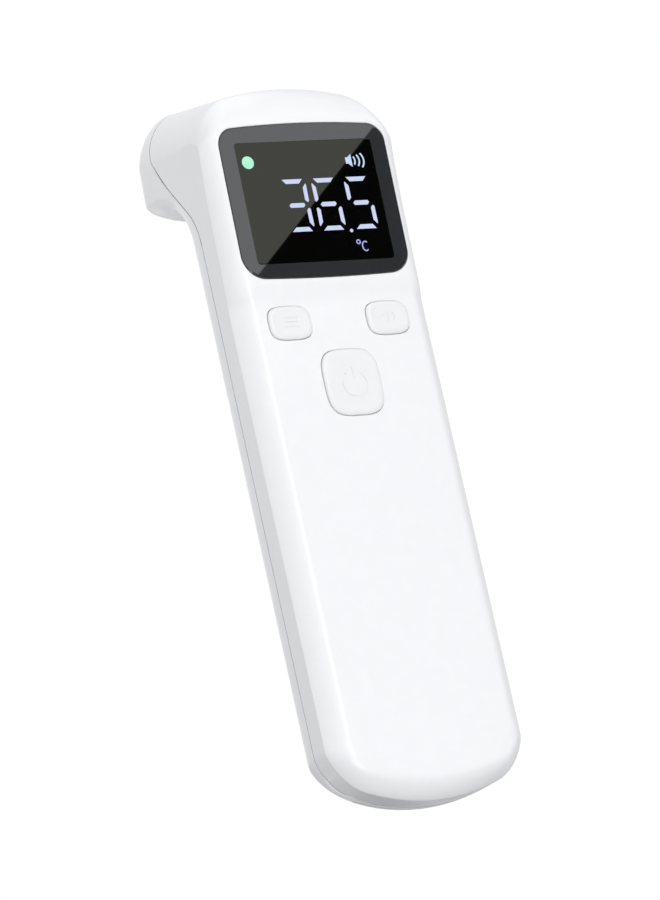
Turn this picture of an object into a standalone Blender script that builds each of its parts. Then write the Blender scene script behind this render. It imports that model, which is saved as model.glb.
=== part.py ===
"""Bar-type infrared forehead thermometer with a raised snout, as separate pieces.

Lengths are millimetres and become metres where a mesh is made. x runs to the right of
someone reading the display, depth runs back from the handle's front panel (world +Y),
and height runs up from the end of the handle (world +Z). The world origin is the middle
of the foot of the bounding box. Three frames hold the pieces: the body frame, the
display frame (tilted with the head's face) and the probe frame (tilted with the snout).
"""

import math

import bmesh
import bpy
from mathutils import Matrix, Vector

MM = 0.001
GAP = 0.3                    # clearance between pieces that touch or nearly touch

# Body
HALF_WIDTH = 22.55
HANDLE_DEPTH = 18.5
WALL = 1.8
BAND = (4.3, 3.8, 1.45)      # soft chamfer round the front panel: across, back, power
TOP_BAND = (9.0, 8.5, 2.0)   # rounder edge along the top of the snout
CROWN = 9.0                  # how far the handle's back is crowned
CROWN_POWER = 2.6
SNOUT_CROWN = 7.4
END_CORNER = 7.2             # corners of the handle's end, seen from the front
END_BACK = (7.0, 9.9)        # rounding of the end towards the back: up, forward
END_BOW = 41.0               # radius of the arc that closes the handle's end
TOP_BOW = 58.5               # radius of the arc over the head
BOW_FADE = 25.0
TOP_BOW_FROM, TOP_BOW_TO = 130.0, 150.0

# Head and snout
PANEL_TOP = 104.0            # the handle's front panel ends here
FACE_BOTTOM = 109.0          # and the head's own face starts here
FACE_TILT = 1.66             # degrees, top forward
DISPLAY_HEIGHT = 126.0
DISPLAY_DEPTH = -0.98
HEAD_TOP = 152.2             # height where the top of the snout starts
TOP_SLOPE = 13.8             # degrees, the top of the snout rises to the back
FRONT_EDGE = (4.8, 8.0, 1.6) # the head's top front edge: back, down, power
ELBOW_RADIUS = 9.6           # bend from the handle's back to the snout's underside
ELBOW = (HANDLE_DEPTH + ELBOW_RADIUS, 122.9)  # its centre: depth, height
FAN_ANGLE = 80.0             # degrees from level over which the crown changes
SNOUT_END = 26.2             # depth where the rounding of the end face starts
END_ROUND = 3.7

# Parting line between the shells, seen from the side
SEAM_DEPTH = 8.6
SEAM_BEND = 121.0
SEAM_RADIUS = 13.0
SEAM_LEAN = 51.0             # degrees above level
SEAM_TOP_START = 136.6
SEAM_TOP_RADIUS = 30.0

# Display, in the display frame, whose depths count from the window's outer face
WINDOW = (19.3, 16.9, -16.3, 4.0, 5.0, 0.9, 0.5)  # half width, top, bottom, radii, bows
WINDOW_THICKNESS = 1.0
WINDOW_SEAT = 1.9
SEAT_RIM = 0.9               # the seat is this much bigger than the window all round
SEAT_FRONT, SEAT_BACK = 1.6, 3.4
OPENING = (17.6, -14.6, 14.9, 4.2)                # half width, bottom, top, radius
GASKET_LIP = 0.4
PANEL_FRONT, PANEL_BACK = 3.7, 5.4
GUIDE_FRONT, GUIDE_BACK = 5.7, 6.9
GLASS_HALF = (17.2, 14.5)
GLASS_RADIUS = 0.6
FRAME_HALF = (19.2, 16.6)
FRAME_RADIUS = 1.5
STATUS_AT = (-13.05, 9.13)
STATUS_RADIUS = 1.3
PIPE_END = 6.2
LAMP_FRONT, LAMP_HALF = 6.0, (1.6, 1.0)

# Keys
POWER_KEY = (0.0, 87.1, 6.45, 7.05, 3.6)          # x, height, half sizes, outline power
SMALL_KEY = (11.34, 100.4, 4.8, 3.55, 3.4)
KEY_PROUD = 0.6
KEY_FLANGE = 1.0
KEY_FLANGE_BACK = 3.0
KEY_POST_END = 4.0
POST_RADIUS = 1.5
KEY_SIDES = 28
SWITCH_TOP = 5.0
SWITCH_HALF = {"power": 3.0, "left": 2.3, "right": 2.3}
BORE_RADIUS, BORE_END = 1.4, 6.75
PLUNGER_RADIUS, PLUNGER_END = 1.1, 6.0

# Electronics
BOARD = (18.3, 72.0, 144.0)  # half width, bottom, top
BOARD_FRONT, BOARD_BACK = 7.2, 8.4
BOARD_SCREWS = ((-15.5, 79.0), (15.5, 79.0), (0.0, 101.0))
BOARD_RADIUS = 3.0
BOARD_SCREW_TIP = 3.8
CASE_SCREWS = ((-13.0, 68.0), (13.0, 68.0))
CASE_SCREW_SEAT, CASE_SCREW_TIP = 12.0, 4.0
SHANK_RADIUS = 0.85
HEAD_RADIUS, HEAD_HEIGHT = 2.1, 1.6
SLOT_LONG, SLOT_WIDE = 1.2, 0.25
BOARD_BOSS, CASE_BOSS = 2.4, 2.7
CASE_POST, CASE_POST_FRONT, CASE_POST_BACK = 3.2, 9.1, 16.5
CASE_WELL = 2.5

# Battery bay
CELL_RADIUS, CELL_LENGTH = 5.25, 44.5
CELL_X, CELL_DEPTH = 5.75, 10.6
BAY_BOTTOM, BAY_TOP = 5.8, 58.4
DOOR_HALF, DOOR_TOP, DOOR_FRONT = 14.0, 62.0, 10.5
DOOR_WALL = 1.6
TONGUE_HALF, TONGUE_THICK = 3.0, 0.8
TONGUE_FOOT, TONGUE_TIP = 57.0, 64.5
TRAY_HALF, TRAY_WALL, TRAY_BACK = 11.4, 0.9, 11.0
CONTACT_PLATE = 0.4
CONTACT_FRONT, CONTACT_BACK = 6.2, 13.6
TERMINAL_HALF, LINK_HALF = 4.6, 10.6
CELL_NUB = (1.9, 0.9)
CELL_EDGE = 0.4
SPRING = (0.35, 3.3, 2.0)    # wire radius, wide end, narrow end
SPRING_TURNS, SPRING_STEPS = 4.0, 10

# Probe, in the probe frame
PROBE_HOLE = 8.0
PROBE_POCKET = (9.1, 0.9)
PROBE_BORE = 6.7

FRONT_MOST = -1.507          # the head's face, just below its top edge
REAR_MOST = 31.939           # the probe ring's lower rim
DEPTH_CENTRE = 0.5 * (FRONT_MOST + REAR_MOST)

FAR = 60.0                   # well outside the body, for cutters

PLASTIC = {"white": (0.86, 0.86, 0.87), "grey": (0.55, 0.57, 0.60), "black": (0.02, 0.02, 0.022)}


def clear_scene():
    for obj in list(bpy.data.objects):
        bpy.data.objects.remove(obj, do_unlink=True)


# ---------------------------------------------------------------- materials

def material(name, colour, roughness, metallic=0.0, alpha=1.0):
    made = bpy.data.materials.get(name) or bpy.data.materials.new(name)
    made.use_nodes = True
    shader = made.node_tree.nodes["Principled BSDF"]
    shader.inputs["Base Color"].default_value = (*colour, 1.0)
    shader.inputs["Roughness"].default_value = roughness
    shader.inputs["Metallic"].default_value = metallic
    shader.inputs["Alpha"].default_value = alpha
    return made


def white_plastic():
    return material("white_gloss_plastic", PLASTIC["white"], 0.25)


def grey_plastic():
    return material("grey_plastic", PLASTIC["grey"], 0.45)


def black_plastic():
    return material("black_plastic", PLASTIC["black"], 0.4)


def steel():
    return material("plated_steel", (0.62, 0.62, 0.6), 0.3, 1.0)


def brass():
    return material("brass", (0.72, 0.55, 0.25), 0.3, 1.0)


def board_green():
    return material("circuit_board", (0.02, 0.18, 0.08), 0.4)


# ---------------------------------------------------------------- frames and objects

def at(x, depth, height):
    """World point, in metres, of a place in the body frame."""
    return Vector((x, depth - DEPTH_CENTRE, height)) * MM


def frame(name, depth, height, tilt):
    """An empty that pieces of a tilted group hang from."""
    empty = bpy.data.objects.new(name, None)
    bpy.context.scene.collection.objects.link(empty)
    empty.location = at(0.0, depth, height)
    empty.rotation_euler.x = math.radians(tilt)
    return empty


def make(name, shape, finish=None, parent=None, origin=(0.0, 0.0, 0.0)):
    """Turns a millimetre bmesh into an object. With no finish it is a helper."""
    bmesh.ops.recalc_face_normals(shape, faces=shape.faces)
    mesh = bpy.data.meshes.new(name)
    shift = Matrix.Translation(-Vector(origin))
    shape.transform(Matrix.Scale(MM, 4) @ shift)
    shape.to_mesh(mesh)
    shape.free()
    obj = bpy.data.objects.new(name, mesh)
    bpy.context.scene.collection.objects.link(obj)
    if parent:
        obj.parent = parent
        obj.location = Vector(origin) * MM
    else:
        obj.location = at(*origin)
    if finish:
        mesh.materials.append(finish)
        mesh.shade_smooth()
        mesh.set_sharp_from_angle(angle=math.radians(32.0))
    else:
        obj.hide_render = True
        obj.display_type = "WIRE"
    return obj


def boolean(target, tool, operation):
    modifier = target.modifiers.new(tool.name, "BOOLEAN")
    modifier.operation = operation
    modifier.solver = "EXACT"
    modifier.object = tool


def cut(target, *tools):
    for tool in tools:
        boolean(target, tool, "DIFFERENCE")


def join(target, *tools):
    for tool in tools:
        boolean(target, tool, "UNION")


# ---------------------------------------------------------------- plain shapes

def stack(rings, closed=False, domed=False):
    """Bridges rings of equal length, and caps both ends unless they meet.

    A domed cap is a fan round its own middle point, for an end that isn't flat.
    """
    shape = bmesh.new()
    loops = [[shape.verts.new(point) for point in ring] for ring in rings]
    pairs = list(zip(loops, loops[1:]))
    if closed:
        pairs.append((loops[-1], loops[0]))
    for low, high in pairs:
        for i in range(len(low)):
            j = (i + 1) % len(low)
            shape.faces.new((low[i], low[j], high[j], high[i]))
    for loop in () if closed else (loops[0], loops[-1]):
        if not domed:
            shape.faces.new(loop)
            continue
        tip = shape.verts.new(sum((v.co for v in loop), Vector()) / len(loop))
        for i, corner in enumerate(loop):
            shape.faces.new((corner, loop[(i + 1) % len(loop)], tip))
    return shape


def add_box(shape, low, high):
    size = Vector(high) - Vector(low)
    middle = (Vector(high) + Vector(low)) * 0.5
    bmesh.ops.create_cube(shape, size=1.0, matrix=Matrix.LocRotScale(middle, None, size))
    return shape


def box(low, high):
    return add_box(bmesh.new(), low, high)


def circle(radius, depth, sides, x=0.0, height=0.0):
    turns = (2.0 * math.pi * i / sides for i in range(sides))
    return [(x + radius * math.cos(t), depth, height + radius * math.sin(t)) for t in turns]


def rod(radius, start, end, x=0.0, height=0.0, sides=20):
    """A cylinder along the depth axis."""
    return stack([circle(radius, start, sides, x, height), circle(radius, end, sides, x, height)])


def turned(profile, sides, x=0.0, height=0.0, closed=False):
    """Turns (radius, depth) points round a line along the depth axis."""
    return stack([circle(r, depth, sides, x, height) for r, depth in profile], closed)


def superellipse(x, height, half_x, half_z, power, depth, sides=KEY_SIDES):
    """A rounded-square outline in a plane across the depth axis."""
    ring = []
    for i in range(sides):
        turn = 2.0 * math.pi * (i + 0.5) / sides
        c, s = math.cos(turn), math.sin(turn)
        ring.append((x + half_x * math.copysign(abs(c) ** (2.0 / power), c), depth,
                     height + half_z * math.copysign(abs(s) ** (2.0 / power), s)))
    return ring


def rounded_box(half_x, low_z, high_z, radius, start, end, steps=3):
    """A plate across the depth axis with rounded corners."""
    corners = ((half_x, high_z, 0), (-half_x, high_z, 90), (-half_x, low_z, 180), (half_x, low_z, 270))
    outline = []
    for x, z, first in corners:
        centre_x = x - math.copysign(radius, x)
        centre_z = z - (radius if z == high_z else -radius)
        for i in range(steps + 1):
            turn = math.radians(first + 90.0 * i / steps)
            outline.append((centre_x + radius * math.cos(turn), centre_z + radius * math.sin(turn)))
    return stack([[(x, depth, z) for x, z in outline] for depth in (start, end)])


def window_outline(grow, depth):
    """The display window's outline: bowed top and bottom, and rounder lower corners."""
    half, top, bottom, top_radius, low_radius, top_bow, low_bow = WINDOW
    half, top, bottom = half + grow, top + grow, bottom - grow
    ring = []
    for side, edge, radius, bow in ((1, top, top_radius, top_bow), (-1, bottom, low_radius, low_bow)):
        inner = half - radius
        drop = bow * (inner / half) ** 2
        for i in range(5):
            turn = math.radians(22.5 * i)
            ring.append((side * (inner + radius * math.cos(turn)),
                         edge - side * drop - side * radius * (1.0 - math.sin(turn))))
        for share in (0.5, 0.0, -0.5):
            ring.append((side * share * inner, edge - side * bow * (share * inner / half) ** 2))
        for i in range(5):
            turn = math.radians(90.0 + 22.5 * i)
            ring.append((side * (-inner + radius * math.cos(turn)),
                         edge - side * drop - side * radius * (1.0 - math.sin(turn))))
    return [(x, depth, z) for x, z in ring]


# ---------------------------------------------------------------- body surface

def smoothstep(value):
    value = min(1.0, max(0.0, value))
    return value * value * (3.0 - 2.0 * value)


def mix(a, b, share):
    return tuple(p + (q - p) * share for p, q in zip(a, b))


def half_section(half_width, length, band, crown):
    """(x, distance back) of half a cross-section, from the front's middle to the back's."""
    across, back, power = band
    flat = half_width - across
    points = [(0.0, 0.0), (0.5 * flat, 0.0)]
    for i in range(6):
        turn = 0.5 * math.pi * i / 5
        points.append((flat + across * math.sin(turn) ** (2.0 / power),
                       back - back * max(math.cos(turn), 0.0) ** (2.0 / power)))
    for i in range(8):
        turn = 0.5 * math.pi * i / 7
        points.append((half_width * max(math.cos(turn), 0.0) ** (2.0 / CROWN_POWER),
                       length - crown + crown * math.sin(turn) ** (2.0 / CROWN_POWER)))
    return points


def bowed(x, depth, height):
    """Bends the handle's end and the head's top into arcs across the width."""
    end = x * x / (2.0 * END_BOW) * (1.0 - smoothstep(height / BOW_FADE))
    top = x * x / (2.0 * TOP_BOW) * smoothstep((height - TOP_BOW_FROM) / (TOP_BOW_TO - TOP_BOW_FROM))
    return (x, depth, height + end - top)


def ring(front, back, half_width, band, crown):
    """A closed ring of surface points, in the plane through the front and back points."""
    reach = Vector(back) - Vector(front)
    length = reach.length
    along = reach / length
    half = half_section(half_width, length, band, crown)
    both = half + [(-x, v) for x, v in half[-2:0:-1]]
    return [(x, front[0] + v * along.x, front[1] + v * along.y) for x, v in both]


def face_depth(height):
    """Depth of the front of the handle and head, on the middle line."""
    face = DISPLAY_DEPTH - (height - DISPLAY_HEIGHT) * math.tan(math.radians(FACE_TILT))
    return face * smoothstep((height - PANEL_TOP) / (FACE_BOTTOM - PANEL_TOP))


def end_rings(inset):
    """Rings that round off the handle's end."""
    rings = []
    for i in range(6):
        rise = END_CORNER * (1.0 - math.cos(math.radians(18.0 * i)))
        across, back, power = BAND
        share = max(0.0, 1.0 - rise / across)
        front = back * (1.0 - (1.0 - share ** power) ** (1.0 / power))
        up, forward = END_BACK
        rear = HANDLE_DEPTH - forward * (1.0 - math.sqrt(1.0 - max(0.0, 1.0 - rise / up) ** 2))
        half = HALF_WIDTH - END_CORNER + math.sqrt(END_CORNER ** 2 - (END_CORNER - rise) ** 2)
        rings.append(body_ring((front, rise + inset), (rear, rise + inset), half, inset,
                               (across, max(back - front, 0.05), power),
                               CROWN * (rear - front) / HANDLE_DEPTH))
    return rings


def body_ring(front, back, half_width, inset, band, crown):
    """A ring moved inwards by inset, with its edges eased to match."""
    along = (Vector(back) - Vector(front)).normalized() * inset
    band = (max(band[0] - 0.4 * inset, 0.5), max(band[1] - 0.4 * inset, 0.05), band[2])
    return ring(Vector(front) + along, Vector(back) - along, half_width - inset, band,
                crown - 0.4 * inset)


def handle_rings(inset):
    """Level rings up the handle and the foot of the head."""
    heights = (14.0, 60.0, PANEL_TOP, 105.7, 107.3, FACE_BOTTOM, 116.0)
    return [body_ring((face_depth(h), h), (HANDLE_DEPTH, h), HALF_WIDTH, inset, BAND, CROWN)
            for h in heights]


def front_profile():
    """(depth, height, share of the way to the top edge) up the face, over and along the top."""
    back, down, power = FRONT_EDGE
    edge_height = HEAD_TOP - down
    points = [(face_depth(h), h, 0.0) for h in (ELBOW[1], 128.5, 133.5, 138.5)]
    front = face_depth(edge_height)
    for i in range(7):
        turn = 0.5 * math.pi * i / 6
        points.append((front + back - back * max(math.cos(turn), 0.0) ** (2.0 / power),
                       edge_height + down * math.sin(turn) ** (2.0 / power), i / 6))
    rise = math.tan(math.radians(TOP_SLOPE))
    start = front + back
    for share in (0.25, 0.6, 1.0):
        depth = start + (SNOUT_END - start) * share
        points.append((depth, HEAD_TOP + (depth - start) * rise, 1.0))
    return points


def fan(depth, height, share, inset, shrink=0.0, push=0.0):
    """A ring in the plane through the elbow's centre and a point of the front profile."""
    centre = Vector(ELBOW)
    outward = (Vector((depth, height)) - centre).normalized()
    turn = math.atan2(outward.y, -outward.x)
    crown = CROWN + (SNOUT_CROWN - CROWN) * turn / math.radians(FAN_ANGLE)
    axial = Vector((outward.y, -outward.x)) * push
    front = Vector((depth, height)) - outward * shrink + axial
    back = centre + outward * (ELBOW_RADIUS + shrink) + axial
    band = mix(BAND, TOP_BAND, share)
    return body_ring(front, back, HALF_WIDTH - shrink, inset, band, crown * (1.0 - 0.08 * shrink))


def snout_rings(inset):
    """Rings that fan round the elbow, then the rounded edge of the end face."""
    profile = front_profile()
    rings = [fan(depth, height, share, inset) for depth, height, share in profile]
    depth, height, share = profile[-1]
    for i in range(1, 5):
        turn = math.radians(22.5 * i)
        rings.append(fan(depth, height, share, inset, END_ROUND * (1.0 - math.cos(turn)),
                         END_ROUND * math.sin(turn) - inset * math.sin(turn)))
    return rings


def shrunk(points, share):
    """The same flat ring, drawn in towards a point between its front and its back."""
    middle = Vector(points[0]).lerp(Vector(points[len(points) // 2]), 0.4)
    return [tuple(middle.lerp(Vector(p), share)) for p in points]


def body_shape(inset):
    """The whole outside, or its inner offset, as one closed loft."""
    rings = end_rings(inset) + handle_rings(inset) + snout_rings(inset)
    foot = [shrunk(rings[0], share) for share in (0.2, 0.6)]
    end = [shrunk(rings[-1], share) for share in (0.6, 0.2)]
    return stack([[bowed(*p) for p in ring] for ring in foot + rings + end], domed=True)


def seam_line(shift):
    """(depth, height) points of the parting line, moved back by shift."""
    lean = math.radians(90.0 - SEAM_LEAN)
    points = [(SEAM_DEPTH, -5.0)]
    for i in range(7):
        turn = lean * i / 6
        points.append((SEAM_DEPTH + SEAM_RADIUS * (1.0 - math.cos(turn)),
                       SEAM_BEND + SEAM_RADIUS * math.sin(turn)))
    depth, height = points[-1]
    depth += (SEAM_TOP_START - height) * math.tan(lean)
    height = SEAM_TOP_START
    for i in range(7):
        turn = lean * (1.0 - i / 6)
        points.append((depth + SEAM_TOP_RADIUS * (math.cos(turn) - math.cos(lean)),
                       height + SEAM_TOP_RADIUS * (math.sin(lean) - math.sin(turn))))
    points.append((points[-1][0], 170.0))
    return [(d + shift, z) for d, z in points]


def side_zone(shift, far):
    """A prism across the whole width, from the parting line to a far depth."""
    outline = seam_line(shift) + [(far, 170.0), (far, -5.0)]
    return stack([[(x, d, z) for d, z in outline] for x in (-FAR, FAR)])


# ---------------------------------------------------------------- casing

def screw_wells(start, end, radius, places, name):
    shape = bmesh.new()
    for x, height in places:
        well = rod(radius, start, end, x, height)
        mesh = bpy.data.meshes.new(name)
        well.to_mesh(mesh)
        well.free()
        shape.from_mesh(mesh)
        bpy.data.meshes.remove(mesh)
    return make(name, shape)


def key_hole(name, spec, x):
    _, height, half_x, half_z, power = spec
    grow = GAP + 0.05
    rings = [superellipse(x, height, half_x + grow, half_z + grow, power, d) for d in (-3.0, 4.0)]
    return make(name, stack(rings))


def front_shell(inside, display):
    shell = make("front_shell", body_shape(0.0), white_plastic())
    cut(shell, inside, make("rear_zone", side_zone(-0.5 * GAP, FAR)))
    half, top, bottom = WINDOW[0] + SEAT_RIM, WINDOW[1] + SEAT_RIM, WINDOW[2] - SEAT_RIM
    seat = rounded_box(half, bottom, top, WINDOW[3], SEAT_FRONT, SEAT_BACK)
    join(shell, make("window_seat", seat, parent=display))
    join(shell, screw_wells(0.5 * WALL, BOARD_FRONT - GAP, BOARD_BOSS, BOARD_SCREWS, "board_bosses"))
    join(shell, screw_wells(0.5 * WALL, SEAM_DEPTH - GAP, CASE_BOSS, CASE_SCREWS, "case_bosses"))
    pocket = [window_outline(GAP, depth) for depth in (-4.0, WINDOW_SEAT)]
    cut(shell, make("window_pocket", stack(pocket), parent=display))
    cut(shell, make("window_opening", rounded_box(*OPENING, -2.0, 6.0), parent=display))
    pilot = CASE_SCREW_TIP - 2.0 * GAP - 0.4
    screws = BOARD_SCREWS + CASE_SCREWS
    cut(shell, screw_wells(pilot, CASE_SCREW_SEAT, SHANK_RADIUS + GAP, screws, "pilot_holes"))
    cut(shell, key_hole("power_key_hole", POWER_KEY, 0.0))
    cut(shell, key_hole("left_key_hole", SMALL_KEY, -SMALL_KEY[0]))
    cut(shell, key_hole("right_key_hole", SMALL_KEY, SMALL_KEY[0]))
    return shell


def door_block(grow, name):
    """The part of the handle's back and end that the battery door fills."""
    low = (-DOOR_HALF - grow, DOOR_FRONT - grow, -FAR)
    return make(name, box(low, (DOOR_HALF + grow, FAR, DOOR_TOP + grow)))


def rear_shell(inside, probe):
    shell = make("rear_shell", body_shape(0.0), white_plastic())
    cut(shell, inside, make("front_zone", side_zone(0.5 * GAP, -FAR)))
    posts = screw_wells(CASE_POST_FRONT, CASE_POST_BACK, CASE_POST, CASE_SCREWS, "screw_posts")
    join(shell, posts)
    cut(shell, door_block(GAP, "door_opening"))
    cut(shell, screw_wells(CASE_SCREW_SEAT, FAR, CASE_WELL, CASE_SCREWS, "screw_wells"))
    cut(shell, screw_wells(SEAM_DEPTH, CASE_POST_BACK, SHANK_RADIUS + GAP, CASE_SCREWS, "screw_holes"))
    radius, depth = PROBE_POCKET
    cut(shell, make("probe_pocket", rod(radius, -depth, 4.0, sides=40), parent=probe))
    cut(shell, make("probe_hole", rod(PROBE_HOLE, -6.0, 2.0, sides=40), parent=probe))
    return shell


def battery_door():
    """The cover: a crowned plate, a lip over the handle's end, and a tongue at the top."""
    door = make("battery_door", body_shape(0.0), white_plastic())
    boolean(door, door_block(0.0, "door_block"), "INTERSECT")
    cut(door, make("door_inside", body_shape(DOOR_WALL)))
    inner = HANDLE_DEPTH - WALL - GAP
    tongue = box((-TONGUE_HALF, inner - TONGUE_THICK, TONGUE_FOOT), (TONGUE_HALF, inner, TONGUE_TIP))
    root = box((-TONGUE_HALF, inner - 0.5 * TONGUE_THICK, TONGUE_FOOT + 0.4),
               (TONGUE_HALF, HANDLE_DEPTH - 0.5 * DOOR_WALL, DOOR_TOP - 0.7))
    join(door, make("door_tongue", tongue))
    join(door, make("door_tongue_root", root))
    return door


# ---------------------------------------------------------------- display

def display_pieces(display):
    outline = [window_outline(0.0, depth) for depth in (0.0, WINDOW_THICKNESS)]
    glass = material("window_glass", PLASTIC["black"], 0.05, alpha=0.35)
    make("display_window", stack(outline), glass, display)
    gasket_start = WINDOW_THICKNESS + GAP
    gasket = [window_outline(-GASKET_LIP, depth) for depth in (gasket_start, gasket_start + GAP)]
    gasket = make("window_gasket", stack(gasket), black_plastic(), display)
    half, bottom, top, radius = OPENING
    hole = rounded_box(half + GAP, bottom - GASKET_LIP, top + GAP, radius + GAP, 0.0, SEAT_BACK)
    cut(gasket, make("gasket_hole", hole, parent=display))
    half_x, half_z = GLASS_HALF
    panel = rounded_box(half_x, -half_z, half_z, GLASS_RADIUS, PANEL_FRONT, PANEL_BACK)
    panel = make("display_panel", panel, black_plastic(), display)
    guide = rounded_box(half_x, -half_z, half_z, GLASS_RADIUS, GUIDE_FRONT, GUIDE_BACK)
    guide = make("backlight_guide", guide, material("light_guide", (0.8, 0.85, 0.85), 0.3), display)
    x, height = STATUS_AT
    hole = rod(STATUS_RADIUS + GAP, SEAT_BACK, GUIDE_BACK + 0.6, x, height)
    hole = make("status_hole", hole, parent=display)
    cut(panel, hole)
    cut(guide, hole)
    frame_x, frame_z = FRAME_HALF
    holder = rounded_box(frame_x, -frame_z, frame_z, FRAME_RADIUS, PANEL_FRONT, GUIDE_BACK)
    holder = make("display_frame", holder, material("frame_plastic", (0.75, 0.75, 0.74), 0.5), display)
    hole = rounded_box(half_x + GAP, -half_z - GAP, half_z + GAP, GLASS_RADIUS + 0.2, SEAT_BACK, 8.0)
    cut(holder, make("frame_hole", hole, parent=display))
    make("status_light_pipe", rod(STATUS_RADIUS, gasket_start + GAP, PIPE_END, x, height),
         material("light_pipe", (0.45, 0.9, 0.6), 0.1), display)
    lamp_x, lamp_z = LAMP_HALF
    middle = DISPLAY_HEIGHT + height
    lamp = box((x - lamp_x, LAMP_FRONT, middle - lamp_z), (x + lamp_x, BOARD_FRONT - GAP, middle + lamp_z))
    make("status_lamp", lamp, material("lamp", (0.8, 0.85, 0.7), 0.3))


# ---------------------------------------------------------------- keys and switches

def key(name, spec, x):
    """A key cap with a rounded rim, a retaining flange and a post that meets its switch."""
    _, height, half_x, half_z, power = spec
    flange_front = WALL + GAP
    rim = ((-KEY_PROUD, 1.0), (-0.5, 0.5), (-0.25, 0.15), (0.1, 0.0))   # depth, inset
    skin = rim + ((flange_front, 0.0), (flange_front, -KEY_FLANGE), (KEY_FLANGE_BACK, -KEY_FLANGE))
    rings = [superellipse(x, height, half_x - inset, half_z - inset, power, depth)
             for depth, inset in skin]
    rings += [superellipse(x, height, POST_RADIUS, POST_RADIUS, 2.0, depth)
              for depth in (KEY_FLANGE_BACK, KEY_POST_END)]
    return make(name, stack(rings), material("key_plastic", (0.80, 0.80, 0.82), 0.35),
                origin=(x, 0.0, height))


def switch(name, x, height):
    """A tact switch on the board, and its plunger, which moves with the key."""
    half = SWITCH_HALF[name]
    body = box((x - half, SWITCH_TOP, height - half), (x + half, BOARD_FRONT - GAP, height + half))
    body = make(name + "_switch", body, material("switch_body", (0.05, 0.05, 0.05), 0.5))
    bore = rod(BORE_RADIUS, KEY_POST_END, BORE_END, x, height, 16)
    cut(body, make(name + "_switch_bore", bore))
    plunger = rod(PLUNGER_RADIUS, KEY_POST_END + GAP, PLUNGER_END, x, height, 16)
    make(name + "_plunger", plunger, material("plunger", (0.75, 0.75, 0.7), 0.5), origin=(x, 0.0, height))


def keys():
    for name, spec, x in (("power", POWER_KEY, 0.0), ("left", SMALL_KEY, -SMALL_KEY[0]),
                          ("right", SMALL_KEY, SMALL_KEY[0])):
        key(name + "_button", spec, x)
        switch(name, x, spec[1])


# ---------------------------------------------------------------- electronics

def screw(name, x, height, seat, tip):
    """A pan-head screw along the depth axis, its head behind the seat."""
    under = seat + GAP
    profile = ((SHANK_RADIUS * 0.5, tip), (SHANK_RADIUS, tip + 0.8), (SHANK_RADIUS, under),
               (HEAD_RADIUS, under), (HEAD_RADIUS, under + 0.5 * HEAD_HEIGHT),
               (HEAD_RADIUS * 0.7, under + 0.8 * HEAD_HEIGHT))
    made = make(name, turned(profile, 14, x, height), steel())
    for half_x, half_z in ((SLOT_LONG, SLOT_WIDE), (SLOT_WIDE, SLOT_LONG)):
        slot = box((x - half_x, seat + 0.9, height - half_z), (x + half_x, seat + 3.0, height + half_z))
        cut(made, make(f"{name}_slot_{half_x}", slot))


def board_pieces():
    half, bottom, top = BOARD
    board = rounded_box(half, bottom, top, BOARD_RADIUS, BOARD_FRONT, BOARD_BACK)
    board = make("main_board", board, board_green())
    cut(board, screw_wells(6.0, 10.0, SHANK_RADIUS + GAP, BOARD_SCREWS, "board_holes"))
    for side, (x, height) in zip(("left", "right", "upper"), BOARD_SCREWS):
        screw(f"board_screw_{side}", x, height, BOARD_BACK, BOARD_SCREW_TIP)
    for side, (x, height) in zip(("left", "right"), CASE_SCREWS):
        screw(f"case_screw_{side}", x, height, CASE_SCREW_SEAT, CASE_SCREW_TIP)
    seat = BOARD_BACK + GAP
    chip = material("chip_resin", (0.03, 0.03, 0.03), 0.5)
    make("controller_chip", box((-5.0, seat, 80.0), (5.0, seat + 1.2, 90.0)), chip)
    make("amplifier_chip", box((6.0, seat, 130.0), (11.0, seat + 1.2, 134.0)), chip)
    buzzer = ((4.6, seat), (4.6, seat + 2.6), (1.0, seat + 2.6), (0.8, seat + 1.8))
    make("buzzer", turned(buzzer, 24, -10.0, 113.0), black_plastic())
    make("sensor_connector", box((-4.2, seat, 121.5), (4.2, seat + 2.0, 125.5)),
         material("connector", (0.85, 0.83, 0.75), 0.5))
    # from the top of the connector, up and back into the open end of the sensor's holder
    ribbon(((9.7, 125.8), (9.7, 129.5), (10.5, 134.5), (11.9, 138.8), (13.6, 141.2), (15.6, 142.2)),
           3.0, 0.3)


def ribbon(line, half_width, thickness):
    """A flat flexible lead that follows a line seen from the side."""
    rings = []
    for i, (depth, height) in enumerate(line):
        before, after = line[max(i - 1, 0)], line[min(i + 1, len(line) - 1)]
        run = Vector((after[0] - before[0], after[1] - before[1])).normalized()
        side = Vector((run.y, -run.x)) * 0.5 * thickness
        rings.append([(x, depth + s * side.x, height + s * side.y)
                      for x, s in ((-half_width, -1), (half_width, -1), (half_width, 1), (-half_width, 1))])
    make("sensor_ribbon", stack(rings), material("ribbon_film", (0.65, 0.4, 0.12), 0.4))


# ---------------------------------------------------------------- probe

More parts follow.
